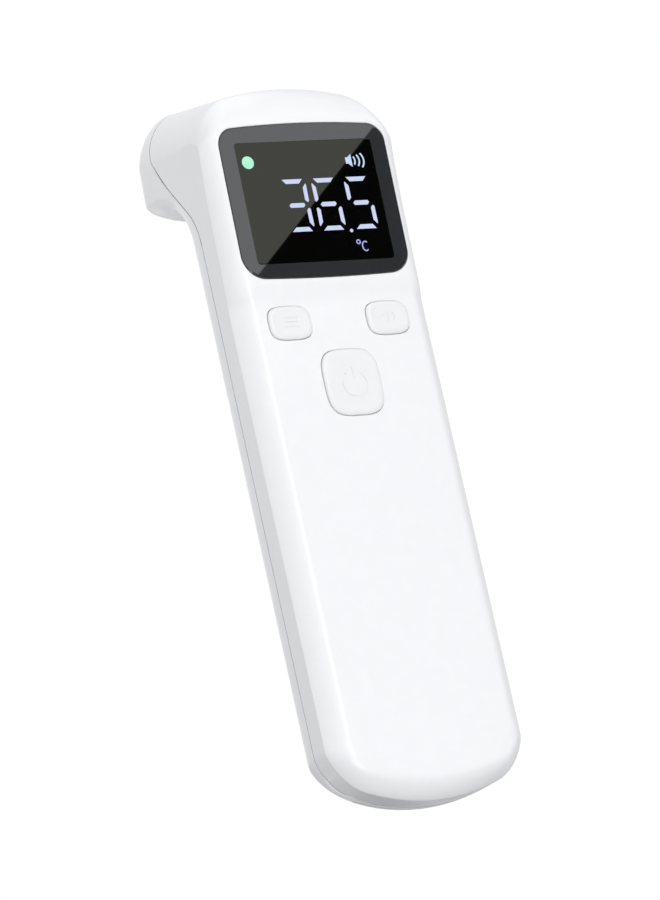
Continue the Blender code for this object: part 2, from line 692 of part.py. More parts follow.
def probe_pieces(probe):
    bore, neck, flange = PROBE_BORE, PROBE_HOLE - GAP, PROBE_POCKET[0] - GAP
    seat = GAP - PROBE_POCKET[1]
    ring_profile = ((bore, 0.9), (bore, -4.6), (neck, -4.6), (neck, seat), (flange, seat), (flange, 0.5),
                    (flange - 0.4, 0.9))
    make("probe_ring", turned(ring_profile, 40, closed=True), grey_plastic(), probe)
    cone = ((6.3, -0.4), (2.6, -9.5), (3.5, -9.5), (6.4, -3.2), (6.4, -0.4))
    make("reflector_cone", turned(cone, 28, closed=True),
         material("reflector", (0.8, 0.8, 0.8), 0.12, 1.0), probe)
    can = ((2.75, -13.1), (2.75, -12.6), (2.35, -12.6), (2.35, -10.1), (2.1, -9.9), (1.2, -9.9))
    make("thermopile_can", turned(can, 24), steel(), probe)
    make("infrared_filter", turned(((1.5, -9.6), (1.5, -9.2)), 24),
         material("filter", (0.10, 0.07, 0.12), 0.08), probe)
    sleeve = ((3.1, -13.1), (3.1, -10.0), (5.4, -10.0), (5.4, -13.1))
    make("heat_sleeve", turned(sleeve, 24, closed=True), brass(), probe)
    holder = ((6.8, -5.0), (6.8, -9.0), (5.7, -9.6), (5.7, -10.1), (6.8, -10.7), (6.8, -15.4),
              (7.8, -15.4), (7.8, -5.0))
    make("sensor_holder", turned(holder, 28, closed=True), black_plastic(), probe)
    make("sensor_board", turned(((6.4, -14.4), (6.4, -13.4)), 28), board_green(), probe)


# ---------------------------------------------------------------- batteries

def upright(profile, sides, x, depth):
    """Turns (radius, height) points round an upright line."""
    rings = []
    for radius, height in profile:
        turns = (2.0 * math.pi * i / sides for i in range(sides))
        rings.append([(x + radius * math.cos(t), depth + radius * math.sin(t), height) for t in turns])
    return stack(rings)


def cell(name, x, foot, nub_up):
    nub_radius, nub_height = CELL_NUB
    shoulder = CELL_LENGTH - nub_height
    heights = ((CELL_RADIUS - CELL_EDGE, 0.0), (CELL_RADIUS, CELL_EDGE), (CELL_RADIUS, shoulder - CELL_EDGE),
               (CELL_RADIUS - CELL_EDGE, shoulder), (nub_radius, shoulder), (nub_radius, CELL_LENGTH))
    if nub_up:
        profile = [(r, foot + h) for r, h in heights]
    else:
        profile = [(r, foot + CELL_LENGTH - h) for r, h in heights]
    make(name, upright(profile, 24, x, CELL_DEPTH), material("cell_jacket", (0.12, 0.14, 0.18), 0.3, 0.4))


def contact_spring(name, x, start, end):
    """A cone of wire whose narrow end meets the cell's flat end."""
    wire, wide, narrow = SPRING
    data = bpy.data.curves.new(name, "CURVE")
    data.dimensions = "3D"
    data.bevel_depth = wire * MM
    data.bevel_resolution = 1
    data.use_fill_caps = True
    spline = data.splines.new("POLY")
    count = int(SPRING_TURNS * SPRING_STEPS) + 1
    spline.points.add(count - 1)
    inward = math.copysign(wire, end - start)
    for i in range(count):
        share = i / (count - 1)
        turn = 2.0 * math.pi * SPRING_TURNS * share
        radius = wide + (narrow - wide) * share
        height = start + inward + (end - start - 2.0 * inward) * share
        place = at(x + radius * math.cos(turn), CELL_DEPTH + radius * math.sin(turn), height)
        spline.points[i].co = (*place, 1.0)
    data.materials.append(steel())
    obj = bpy.data.objects.new(name, data)
    bpy.context.scene.collection.objects.link(obj)


def contact_plate(name, x, half, height):
    low, high = (x - half, CONTACT_FRONT, height), (x + half, CONTACT_BACK, height + CONTACT_PLATE)
    make(name, box(low, high), steel())


def battery_pieces():
    floor = CELL_DEPTH - CELL_RADIUS - GAP
    wall, outer = 1.2, TRAY_HALF + TRAY_WALL
    tray = box((-outer, floor - 1.05, BAY_BOTTOM - wall), (outer, TRAY_BACK, BAY_TOP + wall))
    tray = make("battery_tray", tray, black_plastic())
    cut(tray, make("bay", box((-TRAY_HALF, floor, BAY_BOTTOM), (TRAY_HALF, 20.0, BAY_TOP))))
    rib = box((-0.35, floor - 0.5, BAY_BOTTOM + 6.0), (0.35, 8.0, BAY_TOP - 6.0))
    join(tray, make("bay_rib", rib))
    first, last = BAY_BOTTOM + 0.4, BAY_TOP - 0.4 - CONTACT_PLATE
    contact_plate("link_plate", 0.0, LINK_HALF, first)
    contact_plate("terminal_plus", -CELL_X, TERMINAL_HALF, last)
    contact_plate("terminal_minus", CELL_X, TERMINAL_HALF, last)
    low, high = first + CONTACT_PLATE + GAP, last - GAP
    cell("battery_left", -CELL_X, high - CELL_LENGTH, True)
    cell("battery_right", CELL_X, low, False)
    contact_spring("spring_lower", -CELL_X, low, high - CELL_LENGTH - GAP)
    contact_spring("spring_upper", CELL_X, high, low + CELL_LENGTH + GAP)


# ---------------------------------------------------------------- assembly

def end_face():
    """Middle of the snout's end face (depth, height), and its tilt in degrees."""
    depth, height, _ = front_profile()[-1]
    outward = (Vector((depth, height)) - Vector(ELBOW)).normalized()
    reach = (Vector((depth, height)) - Vector(ELBOW)).length
    middle = Vector(ELBOW) + outward * 0.5 * (reach + ELBOW_RADIUS)
    middle += Vector((outward.y, -outward.x)) * END_ROUND
    return middle.x, middle.y, 90.0 - math.degrees(math.atan2(outward.y, -outward.x))


def main():
    clear_scene()
    bpy.context.scene.unit_settings.scale_length = 1.0
    display = frame("display_frame_origin", DISPLAY_DEPTH, DISPLAY_HEIGHT, FACE_TILT)
    probe = frame("probe_frame_origin", *end_face())
    inside = make("inside", body_shape(WALL))
    front_shell(inside, display)
    rear_shell(inside, probe)
    battery_door()
    display_pieces(display)
    keys()
    board_pieces()
    probe_pieces(probe)
    battery_pieces()


main()
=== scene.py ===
"""The looks of a bar-type infrared forehead thermometer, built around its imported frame.

Lengths are millimetres until a mesh is made. x runs to the reader's right, depth runs back from
the handle's front panel, and height runs up from the end of the handle.
"""

from math import atan2, copysign, cos, degrees, hypot, pi, radians, sin, sqrt, tan

import bmesh
import bpy
from mathutils import Matrix, Vector
from mathutils.geometry import tessellate_polygon

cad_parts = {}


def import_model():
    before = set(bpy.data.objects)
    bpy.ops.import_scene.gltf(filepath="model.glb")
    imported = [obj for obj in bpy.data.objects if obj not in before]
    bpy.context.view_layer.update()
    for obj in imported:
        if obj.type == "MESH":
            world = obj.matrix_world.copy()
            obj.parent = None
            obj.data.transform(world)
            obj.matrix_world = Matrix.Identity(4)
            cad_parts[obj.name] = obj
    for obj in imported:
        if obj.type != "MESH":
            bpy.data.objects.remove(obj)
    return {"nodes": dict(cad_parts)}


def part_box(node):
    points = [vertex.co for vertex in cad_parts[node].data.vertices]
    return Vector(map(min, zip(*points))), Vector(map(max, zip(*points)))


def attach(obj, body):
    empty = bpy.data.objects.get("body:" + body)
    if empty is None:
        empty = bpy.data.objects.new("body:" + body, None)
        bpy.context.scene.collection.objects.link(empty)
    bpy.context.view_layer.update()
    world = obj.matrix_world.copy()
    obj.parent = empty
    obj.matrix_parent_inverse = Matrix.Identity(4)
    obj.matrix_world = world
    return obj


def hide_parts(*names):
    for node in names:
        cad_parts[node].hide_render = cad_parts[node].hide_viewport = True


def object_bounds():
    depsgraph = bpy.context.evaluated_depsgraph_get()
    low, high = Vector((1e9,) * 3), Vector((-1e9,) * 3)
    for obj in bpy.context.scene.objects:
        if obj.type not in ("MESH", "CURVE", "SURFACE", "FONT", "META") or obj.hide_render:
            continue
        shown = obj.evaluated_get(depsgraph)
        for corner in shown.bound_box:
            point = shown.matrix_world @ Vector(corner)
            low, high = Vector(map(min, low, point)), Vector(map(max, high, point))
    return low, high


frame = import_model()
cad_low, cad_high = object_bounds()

MM = 0.001

# Body: the CAD model's sizes, with an eased crease and a sharper outer edge to the front chamfer
HALF_WIDTH = cad_high.x / MM
HANDLE_DEPTH = 18.5
WALL = 1.8
BAND = (4.3, 3.8, 1.3, 1.1)  # chamfer round the front panel: across, back, inner and outer powers
CREASE, CREASE_TOP = 0.3, (105.0, 107.0)  # easing where the panel meets its chamfer, and where that ends
HEAD_BAND_POWER = 2.0
TOP_BAND = (9.0, 8.5, 2.0, 1.6)
CROWN, CROWN_POWER, SNOUT_CROWN = 9.0, 2.6, 7.4
END_CORNER, END_BACK, END_BOW = 7.2, (7.0, 9.9), 41.0
TOP_BOW, BOW_FADE, TOP_BOW_FROM, TOP_BOW_TO = 58.5, 25.0, 130.0, 150.0
PANEL_TOP, FACE_BOTTOM = 104.0, 109.0
FACE_TILT, DISPLAY_HEIGHT, DISPLAY_DEPTH = 1.66, 126.0, -0.98
HEAD_TOP, TOP_SLOPE, FRONT_EDGE = 152.2, 13.8, (4.8, 8.0, 1.6)
ELBOW_RADIUS = 9.6
ELBOW = (HANDLE_DEPTH + ELBOW_RADIUS, 122.9)
FAN_ANGLE, SNOUT_END, END_ROUND = 80.0, 26.2, 3.7
SEAM_DEPTH, SEAM_BEND, SEAM_RADIUS, SEAM_LEAN = 8.6, 121.0, 13.0, 51.0
SEAM_TOP_START, SEAM_TOP_RADIUS = 136.6, 30.0
SEAM_ENDS = (-5.0, 170.0)  # heights below the foot and above the head, where its cutters end
EASE_INWARDS = 0.4  # how much the chamfer and the crown shrink with each step inwards
BOARD_FRONT = 7.2
DEPTH_CENTRE = BOARD_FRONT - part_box("main_board")[0].y / MM
FAR = 60.0

# Fine detail
SEAM_GAP = 0.10
LIP, LIP_REACH = (0.15, 1.4), 1.0  # under the surface, from and to, and the reach each side of the seam
DOOR_LIP = (9.8, 10.47)  # depths between which a lip closes the gap before the battery door
GROOVE = 0.12  # radius of the cove along a parting line
SLIT = 0.10  # gap round the keys and the window
CHAMFER = 0.12
# half width, top, bottom, then the upper and lower corner radius and bow
WINDOW = (19.3, 16.9, -16.3, 4.0, 5.0, 0.9, 0.5)
SCREEN = (15.9, 13.03, 0.75)  # half width, half height, corner radius
WINDOW_SEAT, WINDOW_THICKNESS = 1.9, 1.0
# x, height, half width, half height, power of the outline
KEYS = {"power": (0.0, 87.1, 6.45, 7.05, 3.6),
        "left": (-11.34, 100.4, 4.8, 3.55, 3.4),
        "right": (11.34, 100.4, 4.8, 3.55, 3.4)}
KEY_PROUD = 0.6
CASE_SCREWS = ((-13.0, 68.0), (13.0, 68.0))
CASE_SCREW_SEAT, SHANK_RADIUS, HEAD_RADIUS = 12.0, 0.85, 2.1
CASE_POST, CASE_WELL = (3.2, 9.1, 16.5), 2.5
DOOR_HALF, DOOR_TOP, DOOR_FRONT, DOOR_WALL, DOOR_CORNER = 14.0, 62.0, 10.5, 1.6, 1.6
DOOR_GAP = 0.2
CELL_RADIUS, CELL_LENGTH, CELL_X, CELL_DEPTH = 5.25, 44.5, 5.75, 10.6
FLATS, BANDS = 6, 18  # points across the front panel, and steps across its chamfer
KEEP_FLAT = 0.12  # a flat face keeps an edge this near a bend, so that it shades flat
LEAD = 0.03  # how far the lit marks stand proud
WINDOW_FRAME = (0.9, 4.0, 1.6, 3.4)  # the window's seat: wider by, corner radius, front, back
WINDOW_OPENING = (17.6, -14.6, 14.9, 4.2)  # half width, bottom, top, corner radius
TONGUE = (3.0, 57.0, 64.5, 57.4, 61.3)  # half width, bottom and top, and those of its root
GRIP = (50.0, 2.3, 7.6, 0.62, 0.28, 1.6)  # first height, pitch, half length, radius, sink, bow
PROBE_POCKET, PROBE_HOLE = (9.1, 4.0, -0.9), (8.0, 2.0, -6.0)  # radius, from, to
ICON_DEPTH = 0.16
SLEEVE_EDGE = 4.98  # radius outside which a cell shows its sleeve
SPRING = (0.33, 4.0, 160, 3.3, 2.0)  # wire radius, turns, steps, wide and narrow radius

# Display: heights and widths from the middle of the window
SEGMENTS = (4.82, -6.45, -0.8, 0.95)  # head, foot, middle, thickness
DIGITS = (("abgcd", -7.2, -1.2), ("afgecd", 0.08, 6.1), ("afgcd", 7.72, 13.7))  # lit bars, left, right
POINT = (7.17, -6.72, 0.37)
SPEAKER = ((9.15, 9.05), (9.7, 9.05), (10.55, 9.75), (10.55, 6.95), (9.7, 7.68), (9.15, 7.68))

# Camera, with its distance in millimetres
VIEW_ANGLES = (-30.189, -15.024, -12.55)  # azimuth, elevation, roll
VIEW_TARGET, VIEW_DISTANCE = (-2.798, 10.0, 76.169), 1216.28
SENSOR, LENS = 36.0, 239.83

# Light and backdrop, in metres
ROOM_LIGHT = (0.60, 0.69, 0.16)  # side + (bend * y - lean) * y, for a direction's y
PAPER_WHITE = 1.02
FLOOR = (-1.2, 6.0, 1.6, 0.8, 96, 16)  # level, reach, bend, top, sides, steps
# Area lights: name, place, point aimed at, size, power
LIGHTS = (("front_strip", (0.0, -1.25, 0.42), (0.0, 0.0, 0.1), (0.12, 0.8), 1.95),
          ("low_fill", (-0.25, -0.75, -0.42), (0.0, 0.0, 0.02), (0.8, 0.5), 2.4),
          ("overhead", (0.0, 0.1, 1.2), (0.0, 0.0, 0.1), (1.0, 1.0), 2.4),
          ("under_back", (-0.05, 0.55, -0.42), (0.0, 0.02, 0.1), (0.5, 0.5), 1.7))
END_FLAG = (-0.085, 0.20, -0.016, 0.20)  # below the open door: height, half width, front, back
GLARE = (1.6, 0.35, ((17.35, 15.5), (-16.2, -14.95)))  # share of the way, reach, ends on the window

# Materials
WANDER = 0.15  # share by which a roughness wanders
COAT_ROUGHNESS = 0.06
UNLIT = (0.01, 0.01, 0.01)


# ---- camera, light, floor

def linked(name, data):
    """A new object in the scene."""
    made = bpy.data.objects.new(name, data)
    bpy.context.scene.collection.objects.link(made)
    return made


def camera():
    """Looks up at the display from the left and below, a little rolled."""
    azimuth, elevation, roll = (radians(v) for v in VIEW_ANGLES)
    back = Vector((sin(azimuth) * cos(elevation), -cos(azimuth) * cos(elevation), sin(elevation)))
    right = Vector((cos(azimuth), sin(azimuth), 0.0))
    up = back.cross(right)
    x_axis = right * cos(roll) + up * sin(roll)
    y_axis = up * cos(roll) - right * sin(roll)
    data = bpy.data.cameras.new("camera")
    data.sensor_width, data.lens = SENSOR, LENS
    seen = linked("camera", data)
    seen.matrix_world = Matrix.Translation((at(*VIEW_TARGET) + back * VIEW_DISTANCE) * MM) @ Matrix(
        (x_axis, y_axis, back)).transposed().to_4x4()
    bpy.context.scene.camera = seen


def feed(tree, made, inputs):
    """Sets a node's inputs, or links them where the value is another node's output."""
    for name, value in inputs.items():
        if isinstance(value, bpy.types.NodeSocket):
            tree.links.new(value, made.inputs[name])
        else:
            made.inputs[name].default_value = value


def node(tree, kind, inputs=None):
    made = tree.nodes.new("ShaderNode" + kind)
    feed(tree, made, inputs or {})
    return made


def world():
    """White to the eye, and a soft room for the light: brighter in front and behind than beside."""
    made = bpy.data.worlds.new("studio")
    bpy.context.scene.world = made
    made.use_nodes = True
    tree = made.node_tree
    tree.nodes.clear()
    y = node(tree, "SeparateXYZ", {0: node(tree, "TexCoord").outputs["Generated"]}).outputs["Y"]
    side, bend, lean = ROOM_LIGHT
    slope = node(tree, "Math", {0: y, 1: bend, 2: -lean})
    strength = node(tree, "Math", {0: slope.outputs[0], 1: y, 2: side})
    slope.operation = strength.operation = "MULTIPLY_ADD"
    room = node(tree, "Background", {"Color": (0.985, 0.99, 1.0, 1.0), "Strength": strength.outputs[0]})
    paper = node(tree, "Background", {"Color": (1.0, 1.0, 1.0, 1.0), "Strength": PAPER_WHITE})
    path = node(tree, "LightPath")
    mixed = node(tree, "MixShader", {0: path.outputs["Is Camera Ray"], 1: room.outputs[0],
                                     2: paper.outputs[0]})
    node(tree, "OutputWorld", {0: mixed.outputs[0]})


def area_light(name, spot, aim, size, power):
    data = bpy.data.lights.new(name, "AREA")
    data.shape = "RECTANGLE"
    data.size, data.size_y = size
    data.energy = power
    lamp = linked(name, data)
    lamp.location = spot
    lamp.rotation_euler = (Vector(aim) - Vector(spot)).to_track_quat("-Z", "Y").to_euler()


def sheet(name, points, faces, finish):
    """A studio object, in metres."""
    mesh = bpy.data.meshes.new(name)
    mesh.from_pydata(points, [], faces)
    mesh.materials.append(finish)
    return linked(name, mesh)


def card(name, corners, colour, seen_by_diffuse, shades):
    """A studio flag: a sheet that shows in reflections, and that the camera never meets."""
    flag = sheet(name, [tuple(c) for c in corners], [tuple(range(len(corners)))], plastic(name, colour, 0.9))
    flag.visible_camera = False
    flag.visible_shadow = shades
    flag.visible_diffuse = seen_by_diffuse
    flag.visible_transmission = False


def floor():
    """A pale floor that curves up into a low wall, too low for the main view to meet."""
    level, reach, bend, top, sides, steps = FLOOR
    profile = [(reach - bend, level)]
    profile += [(reach - bend + bend * sin(t), level + bend * (1.0 - cos(t))) for t in quarter(steps)[1:]]
    profile.append((reach, top))
    points = [(radius * cos(t), radius * sin(t), z) for radius, z in profile for t in whole(sides)]
    faces = [tuple(range(sides))]
    for start in range(0, sides * (len(profile) - 1), sides):
        for k in range(sides):
            a, b = start + k, start + (k + 1) % sides
            faces.append((a, a + sides, b + sides, b))
    ground = sheet("floor", points, faces, plastic("floor_paper", (0.86, 0.86, 0.87), 0.8, grain=3.0))
    ground.data.shade_smooth()


def stage():
    floor()
    for light in LIGHTS:
        area_light(*light)
    low, half, front, back = END_FLAG
    card("end_flag", [(-half, front, low), (half, front, low), (half, back, low), (-half, back, low)],
         (0.02, 0.02, 0.02), True, True)
    window_flag()


def window_flag():
    """A dark sheet whose edge shows as a diagonal in the display window."""
    eye = bpy.context.scene.camera.matrix_world.translation
    tilt = radians(FACE_TILT)
    normal = Vector((0.0, -cos(tilt), -sin(tilt)))
    image = eye - normal * 2.0 * (eye - on_window(0.0, 0.0)).dot(normal)  # the eye, mirrored in the window
    share, reach, ends = GLARE
    first, second = (on_window(x, height) for x, height in ends)
    along = (first - second).normalized()
    side = along.cross(normal).normalized()
    if side.x < 0.0:
        side = -side
    along, side = along * reach, side * 2.0 * reach
    corners = [second - along, first + along, first + along + side, second - along + side]
    card("window_flag", [image + (c - image) * share for c in corners], (0.0, 0.0, 0.0), False, False)


# ---- materials

def paint(tree, pattern, low, high, middle, soft, target="Base Color"):
    """Colours a material by a pattern: one colour below its middle value and another above."""
    ramp = node(tree, "ValToRGB", {"Fac": pattern})
    for element, way, colour in zip(ramp.color_ramp.elements, (-1.0, 1.0), (low, high)):
        element.position = middle + way * soft
        element.color = (*colour, 1.0)
    feed(tree, tree.nodes["Principled BSDF"], {target: ramp.outputs["Color"]})


def relief(tree, height, strength, depth):
    """Raises a material's surface by a pattern."""
    bump = node(tree, "Bump", {"Height": height, "Strength": strength, "Distance": depth})
    feed(tree, tree.nodes["Principled BSDF"], {"Normal": bump.outputs["Normal"]})


def object_place(tree):
    return node(tree, "TexCoord").outputs["Object"]


def plastic(name, colour, roughness, metallic=0.0, grain=420.0, shade=0.03, bump=0.0, coat=0.0,
            specular=0.5, glow=0.0, tint=(1.0, 1.0, 1.0)):
    """A Principled surface whose colour and roughness wander a little, with a fine bump."""
    made = bpy.data.materials.new(name)
    made.use_nodes = True
    tree = made.node_tree
    where = object_place(tree)
    noise = node(tree, "TexNoise", {"Vector": where, "Scale": grain, "Detail": 3.0}).outputs["Fac"]
    spread = node(tree, "MapRange", {"Value": noise, "To Min": roughness * (1.0 - WANDER),
                                     "To Max": min(1.0, roughness * (1.0 + WANDER))})
    shader = tree.nodes["Principled BSDF"]
    feed(tree, shader, {"Metallic": metallic, "Coat Weight": coat, "Coat Roughness": COAT_ROUGHNESS,
                        "Specular IOR Level": specular, "Specular Tint": (*tint, 1.0),
                        "Roughness": spread.outputs["Result"]})
    if glow:
        feed(tree, shader, {"Base Color": (*UNLIT, 1.0), "Emission Strength": glow})
    paint(tree, noise, [c * (1.0 - shade) for c in colour], colour, 0.5, 0.15,
          "Emission Color" if glow else "Base Color")
    if bump:
        fine = node(tree, "TexNoise", {"Vector": where, "Scale": grain * 9.0})
        relief(tree, fine.outputs["Fac"], bump, 0.00004)
    return made


def board_material():
    """Green solder mask over copper traces that show as a paler grid."""
    made = plastic("solder_mask", (0.015, 0.13, 0.055), 0.32, coat=0.4, bump=0.1)
    tree = made.node_tree
    turn = node(tree, "Mapping", {"Vector": object_place(tree), "Rotation": (radians(90.0), 0.0, 0.0)})
    brick = node(tree, "TexBrick", {"Vector": turn.outputs["Vector"], "Scale": 160.0, "Mortar Size": 0.03})
    paint(tree, brick.outputs["Fac"], (0.015, 0.12, 0.05), (0.05, 0.26, 0.12), 0.5, 0.02)
    return made


def cell_material():
    """A printed sleeve: dark below, and pale towards the top."""
    made = plastic("cell_sleeve", (0.10, 0.16, 0.30), 0.25, coat=0.5)
    tree = made.node_tree
    split = node(tree, "SeparateXYZ", {0: object_place(tree)})
    height = node(tree, "MapRange", {"Value": split.outputs["Z"], "From Min": 0.006, "From Max": 0.052})
    paint(tree, height.outputs["Result"], (0.07, 0.12, 0.26), (0.78, 0.80, 0.82), 0.72, 0.004)
    return made


def brushed(name, colour, roughness):
    """Metal with fine turning marks."""
    made = plastic(name, colour, roughness, metallic=1.0, grain=900.0, shade=0.12)
    tree = made.node_tree
    wave = node(tree, "TexWave", {"Vector": object_place(tree), "Scale": 1500.0, "Distortion": 2.0})
    wave.wave_type = "RINGS"
    relief(tree, wave.outputs["Fac"], 0.12, 0.00002)
    return made


def finishes():
    """Every finish, by a plain name."""
    made = {
        "shell": plastic("shell_white", (0.885, 0.888, 0.90), 0.32, shade=0.012, bump=0.05, coat=0.4),
        "key": plastic("key_white", (0.84, 0.84, 0.85), 0.34, shade=0.015, bump=0.08),
        "border": plastic("window_border", (0.028, 0.029, 0.032), 0.01, grain=160.0, shade=0.04,
                          specular=1.0),
        "screen": plastic("screen_black", (0.0012, 0.0012, 0.0012), 0.01, grain=300.0, shade=0.3,
                          specular=0.55, tint=(1.0, 1.0, 0.86)),
        # painted shade: a grey for the lips and coves inside the parting lines, where shade would fall
        "lip": plastic("seam_shade_grey", (0.30, 0.30, 0.31), 0.6, shade=0.1, bump=0.1),
        "gasket": plastic("foam_black", (0.02, 0.02, 0.021), 0.85, bump=0.6),
        "natural": plastic("natural_plastic", (0.72, 0.71, 0.68), 0.5, bump=0.15),
        "black": plastic("black_plastic", (0.022, 0.022, 0.024), 0.42, shade=0.2, bump=0.25),
        "guide": plastic("milky_guide", (0.80, 0.84, 0.84), 0.3, bump=0.1),
        "probe": plastic("probe_grey", (0.36, 0.38, 0.41), 0.42, shade=0.06, bump=0.3),
        "board": board_material(),
        "film": plastic("amber_film", (0.50, 0.24, 0.05), 0.3, shade=0.2, coat=0.4),
        "lamp": plastic("lamp_body", (0.80, 0.82, 0.60), 0.25, shade=0.15, coat=0.5),
        "steel": brushed("nickel_steel", (0.66, 0.66, 0.64), 0.27),
        "brass": brushed("turned_brass", (0.72, 0.50, 0.20), 0.25),
        "mirror": brushed("polished_cone", (0.86, 0.86, 0.87), 0.10),
        "filter": plastic("silicon_filter", (0.035, 0.02, 0.05), 0.06, shade=0.3, coat=1.0, specular=1.0),
        "cell": cell_material(),
    }
    for key_name, name, colour, shade, glow in (
            ("digit", "lit_segment", (0.63, 0.70, 0.95), 0.06, 1.0),
            ("sound", "lit_sound", (0.60, 0.75, 0.97), 0.06, 1.0),
            ("unit", "lit_unit", (0.41, 0.44, 0.95), 0.06, 1.0),
            ("status", "lit_status", (0.47, 0.98, 0.69), 0.08, 0.98)):
        made[key_name] = plastic(name, colour, 0.3, grain=700.0, shade=shade, glow=glow, specular=0.0)
    return made


# ---- meshes

def at(x, depth, height):
    return Vector((x, depth - DEPTH_CENTRE, height))


def tilted(origin, tilt):
    """Matrix, in millimetres, of a frame tilted about x."""
    return Matrix.Translation(at(0.0, *origin)) @ Matrix.Rotation(radians(tilt), 4, "X")


BODY = Matrix.Translation((0.0, -DEPTH_CENTRE, 0.0))
DISPLAY = tilted((DISPLAY_DEPTH, DISPLAY_HEIGHT), FACE_TILT)


def on_window(x, height):
    """A point of the window's surface, in metres."""
    return (DISPLAY @ Vector((x, 0.0, height))) * MM


def make(name, shape, where=BODY, finish=None):
    """A mesh object from a millimetre bmesh."""
    bmesh.ops.recalc_face_normals(shape, faces=shape.faces)
    mesh = bpy.data.meshes.new(name)
    shape.transform(Matrix.Scale(MM, 4) @ where)
    shape.to_mesh(mesh)
    shape.free()
    if finish:
        mesh.materials.append(finish)
    return linked(name, mesh)


def quarter(steps):
    """The angles of a quarter turn, in equal steps, with both ends."""
    return [0.5 * pi * i / steps for i in range(steps + 1)]


def whole(sides):
    """The angles of a whole turn, in equal steps."""
    return [2.0 * pi * i / sides for i in range(sides)]


def cuts(*tools):
    """Boolean steps that take each tool away."""
    return [("DIFFERENCE", tool) for tool in tools]


def carve(target, steps):
    """Applies Boolean steps, (operation, tool), in order, and deletes the tools."""
    for operation, tool in steps:
        modifier = target.modifiers.new(tool.name, "BOOLEAN")
        modifier.operation = operation
        modifier.solver = "EXACT"
        modifier.material_mode = "TRANSFER"
        modifier.object = tool
    graph = bpy.context.evaluated_depsgraph_get()
    final = bpy.data.meshes.new_from_object(target.evaluated_get(graph))
    target.modifiers.clear()
    target.data = final
    for _, tool in steps:
        bpy.data.objects.remove(tool)


def place(piece, body, slot, *nodes, angle=35.0):
    """Shades a finished piece and fixes it to a body, in place of CAD nodes; the slot is not used."""
    if piece.type == "MESH":
        piece.data.shade_smooth()
        piece.data.set_sharp_from_angle(angle=radians(angle))
    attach(piece, body)
    if nodes:
        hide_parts(*nodes)


def stack(rings, closed=False, domed=False):
    """Bridges rings of equal length, and caps both ends unless they meet."""
    shape = bmesh.new()
    loops = [[shape.verts.new(point) for point in ring] for ring in rings]
    pairs = list(zip(loops, loops[1:]))
    if closed:
        pairs.append((loops[-1], loops[0]))
    for low, high in pairs:
        for i in range(len(low)):
            j = (i + 1) % len(low)
            shape.faces.new((low[i], low[j], high[j], high[i]))
    for loop in () if closed else (loops[0], loops[-1]):
        if not domed:
            shape.faces.new(loop)
            continue
        tip = shape.verts.new(sum((v.co for v in loop), Vector()) / len(loop))
        for i, corner in enumerate(loop):
            shape.faces.new((corner, loop[(i + 1) % len(loop)], tip))
    return shape


def box(low, high):
    shape = bmesh.new()
    size, middle = Vector(high) - Vector(low), (Vector(high) + Vector(low)) * 0.5
    bmesh.ops.create_cube(shape, size=1.0, matrix=Matrix.LocRotScale(middle, None, size))
    return shape


def circle(radius, depth, sides, x=0.0, height=0.0):
    return [(x + radius * cos(t), depth, height + radius * sin(t)) for t in whole(sides)]


def turned(profile, sides=96, x=0.0, height=0.0, closed=False):
    return stack([circle(r, depth, sides, x, height) for r, depth in profile], closed)


def upright(profile, sides, x, depth):
    """Turns (radius, height) points round an upright line."""
    rings = [circle(radius, height, sides, x, depth) for radius, height in profile]
    return stack([[(a, b, c) for a, c, b in ring] for ring in rings])


def eased(profile, radius, steps=4, closed=False):
    """Rounds the corners of a profile of (a, b) points with arcs of about this radius."""
    points = [Vector(p) for p in profile]
    count, out = len(points), []
    for i, corner in enumerate(points):
        if not closed and i in (0, count - 1):
            out.append(corner)
            continue
        before, after = points[i - 1] - corner, points[(i + 1) % count] - corner
        cut = min(radius, 0.45 * before.length, 0.45 * after.length)
        first, last = corner + before.normalized() * cut, corner + after.normalized() * cut
        for k in range(steps + 1):
            t = k / steps
            out.append(first * (1 - t) ** 2 + corner * 2 * t * (1 - t) + last * t * t)
    return [tuple(p) for p in out]


def superellipse(x, height, half_x, half_z, power, depth, sides=120):
    ring = []
    for i in range(sides):
        turn = 2.0 * pi * (i + 0.5) / sides
        c, s = cos(turn), sin(turn)
        ring.append((x + half_x * copysign(abs(c) ** (2.0 / power), c), depth,
                     height + half_z * copysign(abs(s) ** (2.0 / power), s)))
    return ring


def round_rectangle(half_x, low_z, high_z, radius, depth, steps=8):
    outline = []
    for side, z, first in ((1, high_z, 0), (-1, high_z, 90), (-1, low_z, 180), (1, low_z, 270)):
        centre_x = side * (half_x - radius)
        centre_z = z - (radius if z == high_z else -radius)
        for i in range(steps + 1):
            turn = radians(first + 90.0 * i / steps)
            outline.append((centre_x + radius * cos(turn), depth, centre_z + radius * sin(turn)))
    return outline


def window_outline(grow, depth, steps=12):
    """The window's outline: bowed top and bottom, and rounder lower corners."""
    half, top, bottom, top_radius, low_radius, top_bow, low_bow = WINDOW
    half, top, bottom = half + grow, top + grow, bottom - grow
    ring = []
    for side, edge, radius, bow in ((1, top, top_radius, top_bow), (-1, bottom, low_radius, low_bow)):
        inner = half - radius
        drop = bow * (inner / half) ** 2
        for first in (0.0, 90.0):
            for i in range(steps + 1):
                turn = radians(first + 90.0 * i / steps)
                across = copysign(inner, 1.0 - first / 45.0) + radius * cos(turn)
                ring.append((side * across, edge - side * drop - side * radius * (1.0 - sin(turn))))
            if first == 0.0:
                for k in range(1, 10):
                    share = 1.0 - 0.2 * k
                    ring.append((side * share * inner, edge - side * bow * (share * inner / half) ** 2))
    return [(x, depth, z) for x, z in ring]


# ---- body surface

def smoothstep(value):
    value = min(1.0, max(0.0, value))
    return value * value * (3.0 - 2.0 * value)


def mix(a, b, share):
    return tuple(p + (q - p) * share for p, q in zip(a, b))


